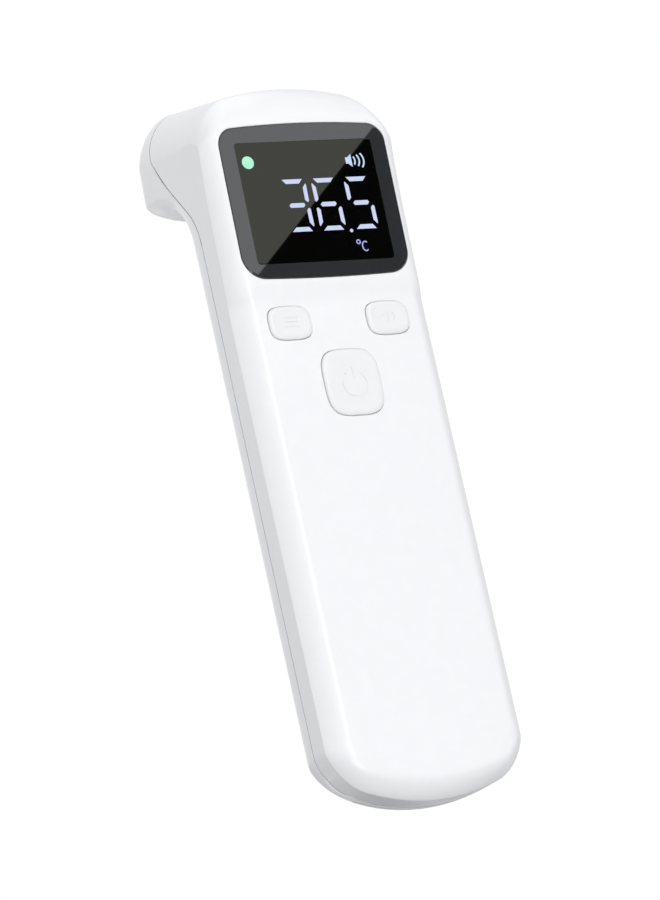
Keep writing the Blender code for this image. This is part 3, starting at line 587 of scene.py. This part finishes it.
def chamfer_drop(share, inner_power, outer_power):
    """How far a chamfer has dropped back, as shares of its depth, at a share of the way across it."""
    def rise(s):
        return (s * s + CREASE * CREASE) ** (0.5 * inner_power) - CREASE ** inner_power
    return 1.0 - max(0.0, 1.0 - rise(share) / rise(1.0)) ** (1.0 / outer_power)


def chamfer_depth(inwards):
    """How far the front chamfer has dropped back at a distance in from the body's outline."""
    across, back, inner_power, outer_power = BAND
    return back * chamfer_drop(min(1.0, max(0.0, 1.0 - inwards / across)), inner_power, outer_power)


def end_front(rise):
    """(x, depth) of the front of a level ring near the handle's end, from the middle to the side."""
    flat = HALF_WIDTH - END_CORNER
    reach = sqrt(END_CORNER ** 2 - (END_CORNER - rise) ** 2)
    points = []
    for i in range(FLATS):
        points.append(((flat - KEEP_FLAT) * i / (FLATS - 1), chamfer_depth(rise)))
    for turn in quarter(BANDS):
        x = reach * sin(turn)
        points.append((flat + x, chamfer_depth(END_CORNER - hypot(x, END_CORNER - rise))))
    return points


def half_section(half_width, length, band, crown, fine, front=None):
    """(x, distance back) of half a cross-section, from the front's middle to the back's."""
    across, back, inner_power, outer_power = band
    flat = half_width - across
    flats, bands, crowns = (FLATS, BANDS, 26) if fine else (2, 5, 7)
    points = list(front or ())
    if not front:
        points += [((flat - KEEP_FLAT) * i / (flats - 1), 0.0) for i in range(flats)]
        for turn in quarter(bands):
            share = sin(turn) ** (2.0 / inner_power)
            points.append((flat + across * share, back * chamfer_drop(share, inner_power, outer_power)))
    if fine:
        points.append((half_width, points[-1][1] + KEEP_FLAT))
    for turn in quarter(crowns):
        points.append((half_width * max(cos(turn), 0.0) ** (2.0 / CROWN_POWER),
                       length - crown + crown * sin(turn) ** (2.0 / CROWN_POWER)))
    return points


def bowed(x, depth, height):
    end = x * x / (2.0 * END_BOW) * (1.0 - smoothstep(height / BOW_FADE))
    top = x * x / (2.0 * TOP_BOW) * smoothstep((height - TOP_BOW_FROM) / (TOP_BOW_TO - TOP_BOW_FROM))
    return (x, depth, height + end - top)


def body_ring(front, back, half_width, inset, band, crown, fine, front_curve=None):
    """A closed ring in the plane through the front and back points, moved inwards by inset."""
    along = (Vector(back) - Vector(front)).normalized()
    front, back = Vector(front) + along * inset, Vector(back) - along * inset
    less = EASE_INWARDS * inset
    band = (max(band[0] - less, 0.5), max(band[1] - less, 0.05), *band[2:])
    half = half_section(half_width - inset, (back - front).length, band, crown - less, fine, front_curve)
    both = half + [(-x, v) for x, v in half[-2:0:-1]]
    return [(x, front.x + v * along.x, front.y + v * along.y) for x, v in both]


def face_depth(height):
    face = DISPLAY_DEPTH - (height - DISPLAY_HEIGHT) * tan(radians(FACE_TILT))
    return face * smoothstep((height - PANEL_TOP) / (FACE_BOTTOM - PANEL_TOP))


def head_band(height):
    """The front chamfer, softer on the head than on the handle."""
    low, high = CREASE_TOP
    power = BAND[2] + (HEAD_BAND_POWER - BAND[2]) * smoothstep((height - low) / (high - low))
    return (BAND[0], BAND[1], power, BAND[3])


def end_rings(inset, steps, fine):
    rings = []
    for turn in quarter(steps):
        rise = END_CORNER * (1.0 - cos(turn))
        across, back, power, outer_power = BAND
        front = chamfer_depth(rise)
        up, forward = END_BACK
        rear = HANDLE_DEPTH - forward * (1.0 - sqrt(1.0 - max(0.0, 1.0 - rise / up) ** 2))
        half = HALF_WIDTH - END_CORNER + sqrt(END_CORNER ** 2 - (END_CORNER - rise) ** 2)
        curve = [(x, depth - front) for x, depth in end_front(rise)] if fine else None
        rings.append(body_ring((front, rise + inset), (rear, rise + inset), half, inset,
                               (across, max(back - front, 0.05), power, outer_power),
                               CROWN * (rear - front) / HANDLE_DEPTH, fine, curve))
    return rings


def handle_rings(inset, fine):
    heights = [14.0, 60.0, PANEL_TOP, 105.7, 107.3, FACE_BOTTOM, 116.0]
    if fine:
        heights = [9.0 + 3.0 * i for i in range(17)] + [58.5 + 0.5 * i for i in range(10)]
        heights += [66.0 + 4.0 * i for i in range(10)] + [PANEL_TOP - 0.8 + 0.4 * i for i in range(18)]
        heights += [112.0, 115.0, 118.0, 120.5]
    return [body_ring((face_depth(h), h), (HANDLE_DEPTH, h), HALF_WIDTH, inset, head_band(h), CROWN, fine)
            for h in heights]


def front_profile(fine):
    """(depth, height, share of the way to the top edge) up the face, over and along the top."""
    back, down, power = FRONT_EDGE
    edge_height = HEAD_TOP - down
    count, edge_steps, runs = (16, 18, 10) if fine else (4, 6, 3)
    points = [(face_depth(h), h, 0.0) for h in
              (ELBOW[1] + (edge_height - ELBOW[1]) * i / count for i in range(count))]
    front = face_depth(edge_height)
    for i, turn in enumerate(quarter(edge_steps)):
        points.append((front + back - back * max(cos(turn), 0.0) ** (2.0 / power),
                       edge_height + down * sin(turn) ** (2.0 / power), i / edge_steps))
    start = front + back
    for i in range(1, runs + 1):
        depth = start + (SNOUT_END - start) * i / runs
        points.append((depth, HEAD_TOP + (depth - start) * tan(radians(TOP_SLOPE)), 1.0))
    return points


def fan(depth, height, share, inset, fine, shrink=0.0, push=0.0):
    """A ring in the plane through the elbow's centre and a point of the front profile."""
    centre = Vector(ELBOW)
    outward = (Vector((depth, height)) - centre).normalized()
    turn = atan2(outward.y, -outward.x)
    crown = CROWN + (SNOUT_CROWN - CROWN) * turn / radians(FAN_ANGLE)
    axial = Vector((outward.y, -outward.x)) * push
    front = Vector((depth, height)) - outward * shrink + axial
    back = centre + outward * (ELBOW_RADIUS + shrink) + axial
    band = mix(head_band(height) if share < 1.0 else BAND, TOP_BAND, smoothstep(share) if fine else share)
    return body_ring(front, back, HALF_WIDTH - shrink, inset, band, crown * (1.0 - 0.08 * shrink), fine)


def snout_rings(inset, fine):
    profile = front_profile(fine)
    rings = [fan(depth, height, share, inset, fine) for depth, height, share in profile]
    depth, height, share = profile[-1]
    for turn in quarter(12 if fine else 4)[1:]:
        rings.append(fan(depth, height, share, inset, fine, END_ROUND * (1.0 - cos(turn)),
                         (END_ROUND - inset) * sin(turn)))
    return rings


def shrunk(points, share):
    middle = Vector(points[0]).lerp(Vector(points[len(points) // 2]), 0.4)
    return [tuple(middle.lerp(Vector(p), share)) for p in points]


def body_shape(inset, fine=True):
    """The whole outside, or its inner offset, as one closed loft."""
    rings = end_rings(inset, 22 if fine else 5, fine) + handle_rings(inset, fine) + snout_rings(inset, fine)
    foot = [shrunk(rings[0], share) for share in (0.1, 0.4, 0.7, 0.93)]
    end = [shrunk(rings[-1], share) for share in (0.93, 0.7, 0.4, 0.1)]
    return stack([[bowed(*p) for p in ring] for ring in foot + rings + end], domed=True)


def seam_line(shift, steps=24):
    """(depth, height) points of the parting line, moved back by shift."""
    lean = radians(90.0 - SEAM_LEAN)
    low, high = SEAM_ENDS
    points = [(SEAM_DEPTH, low)]
    for i in range(steps + 1):
        turn = lean * i / steps
        points.append((SEAM_DEPTH + SEAM_RADIUS * (1.0 - cos(turn)),
                       SEAM_BEND + SEAM_RADIUS * sin(turn)))
    depth, height = points[-1]
    depth += (SEAM_TOP_START - height) * tan(lean)
    height = SEAM_TOP_START
    for i in range(steps + 1):
        turn = lean * (1.0 - i / steps)
        points.append((depth + SEAM_TOP_RADIUS * (cos(turn) - cos(lean)),
                       height + SEAM_TOP_RADIUS * (sin(lean) - sin(turn))))
    points.append((points[-1][0], high))
    return [(d + shift, z) for d, z in points]


def crosswise(outline):
    """A prism from side to side over an outline of (depth, height) points."""
    return stack([[(x, depth, height) for depth, height in outline] for x in (-FAR, FAR)])


def side_zone(shift, far):
    """A cutter for all that lies to one side of the parting line."""
    low, high = SEAM_ENDS
    return crosswise(seam_line(shift) + [(far, high), (far, low)])


def behind_seam(point):
    """Distance, along the depth, of a point behind the parting line."""
    line = seam_line(0.0)
    for (low_depth, low), (high_depth, high) in zip(line, line[1:]):
        if low <= point.z <= high:
            share = (point.z - low) / (high - low)
            return point.y - (low_depth + (high_depth - low_depth) * share)
    return point.y - line[0][0]


def outside_door(point):
    """Roughly the distance of a point outside the battery door's outline."""
    across, up = abs(point.x) - DOOR_HALF + DOOR_CORNER, point.z - DOOR_TOP + DOOR_CORNER
    corner = hypot(max(across, 0.0), max(up, 0.0)) + min(max(across, up), 0.0) - DOOR_CORNER
    return max(DOOR_FRONT - point.y, corner)


def contours(shape, value):
    """The closed lines where value changes sign on a surface, as lists of points."""
    side = {v: value(v.co) for v in shape.verts}
    crossing = {}
    for edge in shape.edges:
        a, b = (side[v] for v in edge.verts)
        if (a > 0.0) != (b > 0.0):
            crossing[edge] = edge.verts[0].co.lerp(edge.verts[1].co, a / (a - b))
    joined = {edge: [] for edge in crossing}
    for face in shape.faces:
        cut = [edge for edge in face.edges if edge in crossing]
        if len(cut) == 2:
            joined[cut[0]].append(cut[1])
            joined[cut[1]].append(cut[0])
    loops, left = [], dict.fromkeys(crossing)   # a dict keeps its order, so each run gives the same lines
    while left:
        edge = next(iter(left))
        loop = []
        while edge in left:
            del left[edge]
            loop.append(crossing[edge])
            edge = next((e for e in joined[edge] if e in left), edge)
        loops.append(loop)
    return loops


def wire(name, radius, resolution, lines, ring=False):
    """A round wire along lines of points, each closed on itself if it is a ring."""
    data = bpy.data.curves.new(name, "CURVE")
    data.dimensions = "3D"
    data.bevel_depth = radius * MM
    data.bevel_resolution = resolution
    data.use_fill_caps = not ring
    for line in lines:
        spline = data.splines.new("POLY")
        spline.points.add(len(line) - 1)
        for target, point in zip(spline.points, line):
            target.co = (*((BODY @ point) * MM), 1.0)
        spline.use_cyclic_u = ring
    return linked(name, data)


def groove(name, loops, finish, spacing=0.8):
    """A round cutter along closed lines on the surface, which leaves its finish in the cove; the casing
    gives it a grey that is painted shade.
    """
    lines = []
    for loop in loops:
        kept = [loop[0]]
        for point in loop[1:]:
            if (point - kept[-1]).length > spacing:
                kept.append(point)
        lines.append(kept)
    path = wire(name, GROOVE, 2, lines, ring=True)
    graph = bpy.context.evaluated_depsgraph_get()
    mesh = bpy.data.meshes.new_from_object(path.evaluated_get(graph))
    bpy.data.objects.remove(path)
    mesh.materials.clear()
    mesh.materials.append(finish)
    return linked(name, mesh)


# ---- casing

def rods(radius, start, end, places, name, sides=40):
    shape = bmesh.new()
    for x, height in places:
        add(shape, turned(((radius, start), (radius, end)), sides, x, height))
    return make(name, shape)


def flared(outline_at, surface, bottom, flare=CHAMFER):
    """A cutter whose outline opens at 45 degrees from just under the surface outwards."""
    lip = surface + flare
    return stack([outline_at(flare + 2.0, surface - 2.0), outline_at(0.0, lip), outline_at(0.0, bottom)])


def door_block(name, grow):
    """A block with the battery door's outline, from its front outwards."""
    half, top, corner = DOOR_HALF + grow, DOOR_TOP + grow, DOOR_CORNER + grow
    return make(name, stack([round_rectangle(half, -FAR, top, corner, depth)
                             for depth in (DOOR_FRONT - grow, FAR)]))


def lips(finish):
    """Grey lips inside the walls that close the parting lines; their grey is painted shade, so that those
    show as thin shadows.
    """
    band = crosswise(seam_line(-LIP_REACH) + seam_line(LIP_REACH)[::-1])
    front, back = DOOR_LIP
    shelf = box((-FAR, front, -1.0), (FAR, back, END_CORNER))
    for name, zone in (("seam_lip", band), ("door_lip", shelf)):
        lip = make(name, body_shape(LIP[0]), finish=finish)
        carve(lip, [*cuts(make(name + "_space", body_shape(LIP[1]))),
                    ("INTERSECT", make(name + "_zone", zone))])
        place(lip, "casing", "gasket_black")


def shell_piece(piece_name, body, node_name, finish, steps):
    """A part of the casing, carved out of the whole outside."""
    piece = make(piece_name, body_shape(0.0), finish=finish)
    carve(piece, steps)
    place(piece, body, "shell_white", node_name)


def front_steps(cove):
    """The front shell: hollow, cut off at the seam, and open for the window and the keys."""
    wider, corner, *depths = WINDOW_FRAME
    half, top, bottom = WINDOW[0] + wider, WINDOW[1] + wider, WINDOW[2] - wider
    seat = stack([round_rectangle(half, bottom, top, corner, depth) for depth in depths])
    pocket = flared(lambda grow, depth: window_outline(SLIT + grow, depth), 0.0, WINDOW_SEAT)
    opening = stack([round_rectangle(*WINDOW_OPENING, depth) for depth in (-2.0, 6.0)])
    holes = []
    for name, (x, height, half_x, half_z, power) in KEYS.items():
        hole = flared(lambda grow, depth: superellipse(x, height, half_x + SLIT + grow,
                                                       half_z + SLIT + grow, power, depth), 0.0, 4.0)
        holes.append(make(name + "_hole", hole))
    return [*cuts(make("inner_space", body_shape(WALL, fine=False)),
                  make("rear_zone", side_zone(-SEAM_GAP, FAR))),
            ("UNION", make("window_seat", seat, DISPLAY)),
            *cuts(make("window_pocket", pocket, DISPLAY), make("window_opening", opening, DISPLAY),
                  *holes, cove)]


def rear_steps(*coves):
    """The rear shell: hollow, with screw posts, and open for the door, the screws and the probe."""
    post, post_front, post_back = CASE_POST
    probe = tilted(*end_face())
    pocket, bore = (turned(((radius, start), (radius, end))) for radius, start, end in
                    (PROBE_POCKET, PROBE_HOLE))
    return [*cuts(make("inner_space", body_shape(WALL, fine=False)),
                  make("front_zone", side_zone(SEAM_GAP, -FAR))),
            ("UNION", rods(post, post_front, post_back, CASE_SCREWS, "screw_posts")),
            *cuts(door_block("door_opening", DOOR_GAP),
                  rods(CASE_WELL, CASE_SCREW_SEAT, FAR, CASE_SCREWS, "screw_wells"),
                  rods(SHANK_RADIUS + 0.3, SEAM_DEPTH, 14.0, CASE_SCREWS, "screw_holes"),
                  make("probe_pocket", pocket, probe), make("probe_hole", bore, probe), *coves)]


def door_steps(cove):
    """The battery door: a slice of the outside, with a tongue, thumb grooves and an arrow."""
    half, bottom, top, root_bottom, root_top = TONGUE
    inner = HANDLE_DEPTH - WALL - 0.3
    tongue = box((-half, inner - 0.8, bottom), (half, inner, top))
    root = box((-half, inner - 0.4, root_bottom), (half, HANDLE_DEPTH - 0.8, root_top))
    return [("INTERSECT", door_block("door_block", 0.0)),
            *cuts(make("door_space", body_shape(DOOR_WALL, fine=False))),
            ("UNION", make("door_tongue", tongue)), ("UNION", make("door_tongue_root", root)),
            *cuts(cove, *(grip_groove(i) for i in range(6)), grip_arrow())]


def casing(finish, shadow):
    outside = body_shape(0.0)
    seam, door_edge = contours(outside, behind_seam), contours(outside, outside_door)
    outside.free()
    shell_piece("front_shell_skin", "casing", "front_shell", finish,
                front_steps(groove("seam_groove", seam, shadow)))
    shell_piece("rear_shell_skin", "casing", "rear_shell", finish,
                rear_steps(groove("seam_groove", seam, shadow), groove("door_groove", door_edge, shadow)))
    shell_piece("battery_door_skin", "door", "battery_door", finish,
                door_steps(groove("door_groove", door_edge, shadow)))


def grip_groove(index):
    """One of the thumb grooves on the door: a slot with round ends, bowed down the handle."""
    top, pitch, half, radius, sink, bow = GRIP
    steps, sides = 32, 14
    rings = []
    for i in range(steps + 1):
        x = -half + 2.0 * half * i / steps
        size = radius * sqrt(max(0.02, 1.0 - (abs(x) / half) ** 6))
        height = top - pitch * index - bow * (1.0 - (x / half) ** 2)
        rings.append([(x, HANDLE_DEPTH + sink + size * cos(t), height + size * sin(t))
                      for t in whole(sides)])
    return make(f"grip_{index}", stack(rings))


def grip_arrow():
    """A shallow arrow head above the grooves that points the way the door slides."""
    outline = [(-2.6, 55.6), (0.0, 52.9), (2.6, 55.6), (1.75, 55.6), (0.0, 53.8), (-1.75, 55.6)]
    depth = HANDLE_DEPTH - 0.22
    return make("grip_arrow", stack([[(x, d, z) for x, z in outline] for d in (depth, HANDLE_DEPTH + 2.0)]))


def end_face():
    """Middle of the snout's end face, (depth, height), and its tilt in degrees."""
    depth, height, _ = front_profile(False)[-1]
    reach = Vector((depth, height)) - Vector(ELBOW)
    outward = reach.normalized()
    middle = Vector(ELBOW) + outward * 0.5 * (reach.length + ELBOW_RADIUS)
    middle += Vector((outward.y, -outward.x)) * END_ROUND
    return (middle.x, middle.y), 90.0 - degrees(atan2(outward.y, -outward.x))


# ---- window and display

def window(finish):
    """The dark border, the black screen inside it, and the lit marks on the screen."""
    half, tall, radius = SCREEN
    skin = ((0.0, WINDOW_THICKNESS), (0.0, 0.26), (0.03, 0.12), (0.1, 0.03), (0.24, 0.0), (0.3, 0.0))
    rings = [window_outline(-inset, depth) for inset, depth in skin]   # inset, depth
    border = make("window_border", stack(rings), DISPLAY, finish["border"])
    hole = [round_rectangle(half, -tall, tall, radius, depth) for depth in (-1.0, 2.0)]
    carve(border, cuts(make("screen_hole", stack(hole), DISPLAY)))
    place(border, "casing", "window_glass", "display_window", angle=30.0)
    rings = []
    for inset, depth in ((0.0, WINDOW_THICKNESS), (0.0, 0.05), (0.03, 0.01), (0.1, 0.0), (0.16, 0.0)):
        inset += 0.02
        rings.append(round_rectangle(half - inset, inset - tall, tall - inset, radius - inset, depth))
    screen = make("screen_glass", stack(rings), DISPLAY, finish["screen"])
    place(screen, "casing", "display_dark", angle=30.0)
    lit_marks(finish)


def plate(outline, front, back):
    """A thin prism over an outline of (x, height) points, of any shape."""
    shape = bmesh.new()
    loops = [[shape.verts.new((x, depth, z)) for x, z in outline] for depth in (front, back)]
    count = len(outline)
    for i in range(count):
        j = (i + 1) % count
        shape.faces.new((loops[0][i], loops[0][j], loops[1][j], loops[1][i]))
    flat = [Vector((x, z, 0.0)) for x, z in outline]
    for triangle in tessellate_polygon([flat]):
        for loop in loops:
            shape.faces.new([loop[k] for k in triangle])
    return shape


def add(shape, other):
    """Moves one bmesh into another."""
    mesh = bpy.data.meshes.new("part")
    other.to_mesh(mesh)
    other.free()
    shape.from_mesh(mesh)
    bpy.data.meshes.remove(mesh)


def plates(outlines, front, back):
    shape = bmesh.new()
    for outline in outlines:
        add(shape, plate(outline, front, back))
    return shape


def segments(which, left, right):
    """Outlines of a seven-segment digit's lit bars."""
    head, foot, middle, thick = SEGMENTS
    high, low = middle + 0.5 * thick, middle - 0.5 * thick
    bars = {
        "a": [(left + 0.6, head), (right - 0.7, head), (right - 1.55, head - thick),
              (left + 1.4, head - thick)],
        "d": [(left + 0.75, foot), (right - 0.6, foot), (right - 1.3, foot + thick),
              (left + 1.75, foot + thick)],
        "g": [(left + 1.2, middle), (left + 1.7, high), (right - 1.35, high), (right - 1.1, middle),
              (right - 1.55, low), (left + 1.5, low)],
    }
    for name, x, way, outer, up in (("f", left, 1.0, head, 1.0), ("b", right, -1.0, head, 1.0),
                                    ("e", left, 1.0, foot, -1.0), ("c", right, -1.0, foot, -1.0)):
        bars[name] = [(x + way * 0.14, outer - up * 0.98), (x + way * 0.88, outer - up * 1.85),
                      (x + way * 0.92, middle + up * 1.15), (x + way * 0.42, middle + up * 0.62),
                      (x + way * 0.06, middle + up * 0.85), (x, outer - up * 1.3)]
    return [bars[k] for k in which]


def arc(x, height, radius_x, radius_z, start, end, width, steps=24):
    """Outline of a curved stroke."""
    outer, inner = [], []
    for i in range(steps + 1):
        turn = radians(start + (end - start) * i / steps)
        c, s = cos(turn), sin(turn)
        for line, grow in ((outer, 0.5 * width), (inner, -0.5 * width)):
            line.append((x + (radius_x + grow) * c, height + (radius_z + grow) * s))
    return outer + inner[::-1]


def bar(x, height, half_x, half_z):
    return [(x - half_x, height - half_z), (x + half_x, height - half_z),
            (x + half_x, height + half_z), (x - half_x, height + half_z)]


def lit_marks(finish):
    """The three digits and their point, the sound sign, the degree sign and the status light."""
    back = 0.05
    x, height, radius = POINT
    digits = [outline for digit in DIGITS for outline in segments(*digit)]
    digits.append([(a, b) for a, _, b in circle(radius, 0.0, 48, x, height)])
    sound = [SPEAKER]
    for x, radius, half_turn in ((9.93, 1.41, 37.0), (10.6, 1.75, 43.0), (11.2, 2.2, 44.0)):
        sound.append(arc(x, 8.3, radius, radius, -half_turn, half_turn, 0.34, 14))
    x, height, outer, inner = 8.22, -9.2, 0.52, 0.27
    degree = ((outer, -LEAD), (outer, back), (inner, back), (inner, -LEAD))
    unit = turned(degree, 32, x, height, closed=True)
    add(unit, plate(arc(9.68, -10.17, 0.72, 1.0, 50.0, 310.0, 0.27), -LEAD, back))
    for name, shape, look in (("lit_digits", plates(digits, -LEAD, back), "digit"),
                              ("lit_sound_mark", plates(sound, -LEAD, back), "sound"),
                              ("lit_unit_mark", unit, "unit")):
        place(make(name, shape, DISPLAY, finish[look]), "casing", "display_dark", angle=30.0)
    lens = eased(((1.36, 0.05), (1.36, -0.03), (0.9, -0.08), (0.02, -0.1)), 0.1)
    light = make("status_light", turned(lens, 64, -13.5, 8.8), DISPLAY, finish["status"])
    place(light, "casing", "light_guide", angle=40.0)


# ---- keys

def key(name, finish):
    """A cap with a soft rim, gently dished, over a flange that sits behind the panel."""
    x, height, half_x, half_z, power = KEYS[name]
    straight, rim = 0.05, 0.9
    skin = [(3.0, -1.0), (2.1, -1.0), (2.1, 0.0), (0.0, 0.0)]    # depth, inset
    skin += [(-straight - (KEY_PROUD - straight) * sin(t), rim * (1.0 - cos(t))) for t in quarter(10)]
    rings = [superellipse(x, height, half_x - inset, half_z - inset, power, depth) for depth, inset in skin]
    for share, dip in ((0.8, 0.015), (0.65, 0.03), (0.45, 0.04), (0.2, 0.05)):
        rings.append(superellipse(x, height, half_x * share, half_z * share,
                                  power + (2.0 - power) * (1.0 - share), dip - KEY_PROUD))
    cap = make(name + "_key_cap", stack(rings), finish=finish)
    carve(cap, cuts(make(name + "_icon", key_icon(name, x, height))))
    place(cap, name + "_key", "key_plastic", name + "_button", angle=40.0)


def key_icon(name, x, height):
    """Shallow engraved signs: on and off, a list, and sound."""
    if name == "power":
        outlines = [arc(x, height - 0.6, 2.75, 2.75, 125.0, 415.0, 0.45, 40),
                    bar(x, height + 1.65, 0.22, 1.25)]
    elif name == "left":
        outlines = [bar(x, height + row * 0.95, 1.5, 0.16) for row in (-1.0, 0.0, 1.0)]
    else:
        speaker = ((-1.7, -0.45), (-1.0, -0.45), (-0.1, -1.2), (-0.1, 1.2), (-1.0, 0.45), (-1.7, 0.45))
        outlines = [[(x + across, height + up) for across, up in speaker],
                    arc(x - 0.7, height, 1.9, 1.9, -32.0, 32.0, 0.3, 12)]
    return plates(outlines, -KEY_PROUD - 0.5, ICON_DEPTH - KEY_PROUD)


# ---- probe

def probe_pieces(finish):
    """The ring, the polished cone and the filter in the snout's end face."""
    where = tilted(*end_face())
    ring = eased(((6.7, 0.9), (6.7, -4.6), (7.7, -4.6), (7.7, -0.6), (8.8, -0.6), (8.8, 0.45), (8.3, 0.9)),
                 0.22, closed=True)
    cone = eased(((6.3, -0.4), (2.6, -9.5), (3.5, -9.5), (6.45, -3.2), (6.45, -0.4)), 0.07, 3, closed=True)
    glass = eased(((0.02, -9.6), (1.5, -9.6), (1.5, -9.2), (0.02, -9.18)), 0.08)
    for name, profile, sides, closed, look, slot in (
            ("probe_ring", ring, 128, True, "probe", "probe_grey"),
            ("reflector_cone", cone, 128, True, "mirror", "reflector"),
            ("infrared_filter", glass, 64, False, "filter", "filter")):
        piece = make(name + "_fine", turned(profile, sides, closed=closed), where, finish[look])
        place(piece, "casing", slot, name, angle=40.0)


# ---- battery bay and screws

def cells(finish):
    """Two cells, head up and head down, with printed sleeves and bare metal ends."""
    for name, x in (("battery_left", -CELL_X), ("battery_right", CELL_X)):
        low, high = (corner.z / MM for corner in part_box(name))
        up = name == "battery_left"
        points = ((0.02, 0.0), (3.6, 0.0), (3.8, 0.25), (4.7, 0.25), (5.05, 0.0), (CELL_RADIUS, 0.3),
                  (CELL_RADIUS, 43.0), (5.0, 43.35), (4.3, 43.35), (4.1, 43.6), (1.9, 43.6), (1.9, 44.35),
                  (1.7, CELL_LENGTH), (0.02, CELL_LENGTH))
        profile = [(r, low + h if up else high - h) for r, h in eased(points, 0.12, 3)]
        piece = make(name + "_fine", upright(profile, 64, x, CELL_DEPTH), finish=finish["cell"])
        piece.data.materials.append(finish["steel"])
        for face in piece.data.polygons:
            reach = hypot(face.center.x / MM - x, face.center.y / MM + DEPTH_CENTRE - CELL_DEPTH)
            face.material_index = 0 if reach > SLEEVE_EDGE else 1
        place(piece, "casing", "cell_jacket", name, angle=40.0)


def springs(finish):
    """Cone springs between the cells' flat ends and their plates."""
    radius, turns, steps, wide, narrow = SPRING
    gap = 0.35
    for name, x in (("spring_lower", -CELL_X), ("spring_upper", CELL_X)):
        low, high = (corner.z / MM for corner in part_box(name))
        line = []
        for i in range(steps + 1):
            share = i / steps
            turn, reach = 2.0 * pi * turns * share, wide + (narrow - wide) * share
            rise = low + gap + (high - low - 2.0 * gap) * (share if name == "spring_lower" else 1.0 - share)
            line.append(Vector((x + reach * cos(turn), CELL_DEPTH + reach * sin(turn), rise)))
        coil = wire(name + "_fine", radius, 4, [line])
        coil.data.materials.append(finish["steel"])
        place(coil, "casing", "plated_steel", name)


def case_screws(finish):
    under = CASE_SCREW_SEAT + 0.3
    points = ((0.3, 4.0), (SHANK_RADIUS, 5.0), (SHANK_RADIUS, under), (HEAD_RADIUS, under),
              (HEAD_RADIUS, under + 0.7), (1.5, under + 1.2), (0.02, under + 1.28))
    for name, (x, height) in zip(("case_screw_left", "case_screw_right"), CASE_SCREWS):
        piece = make(name + "_fine", turned(eased(points, 0.3), 48, x, height), finish=finish["steel"])
        slots = []
        for half_x, half_z in ((1.25, 0.24), (0.24, 1.25)):
            slot = box((x - half_x, under + 0.55, height - half_z),
                       (x + half_x, under + 3.0, height + half_z))
            slots.append(make(f"{name}_slot_{half_x}", slot))
        carve(piece, cuts(*slots))
        place(piece, "casing", "plated_steel", name)


def carried_over(finish):
    """Finishes for the CAD nodes that stay as they are."""
    groups = {
        "gasket": ("window_gasket",),
        "natural": ("display_frame", "power_plunger", "left_plunger", "right_plunger", "sensor_connector"),
        "black": ("battery_tray", "sensor_holder", "power_switch", "left_switch", "right_switch", "buzzer",
                  "controller_chip", "amplifier_chip", "display_panel"),
        "guide": ("backlight_guide", "status_light_pipe"),
        "board": ("main_board", "sensor_board"),
        "film": ("sensor_ribbon",),
        "lamp": ("status_lamp",),
        "steel": ("board_screw_left", "board_screw_right", "board_screw_upper", "link_plate",
                  "terminal_plus", "terminal_minus", "thermopile_can"),
        "brass": ("heat_sleeve",),
    }
    for name, parts in groups.items():
        for part in parts:
            mesh = frame["nodes"][part].data
            mesh.materials.clear()
            mesh.materials.append(finish[name])


def main():
    bpy.context.scene.view_settings.view_transform = "Standard"
    camera()
    world()
    stage()
    finish = finishes()
    casing(finish["shell"], finish["lip"])
    lips(finish["lip"])
    window(finish)
    for name in KEYS:
        key(name, finish["key"])
    probe_pieces(finish)
    cells(finish)
    springs(finish)
    case_screws(finish)
    carried_over(finish)


main()
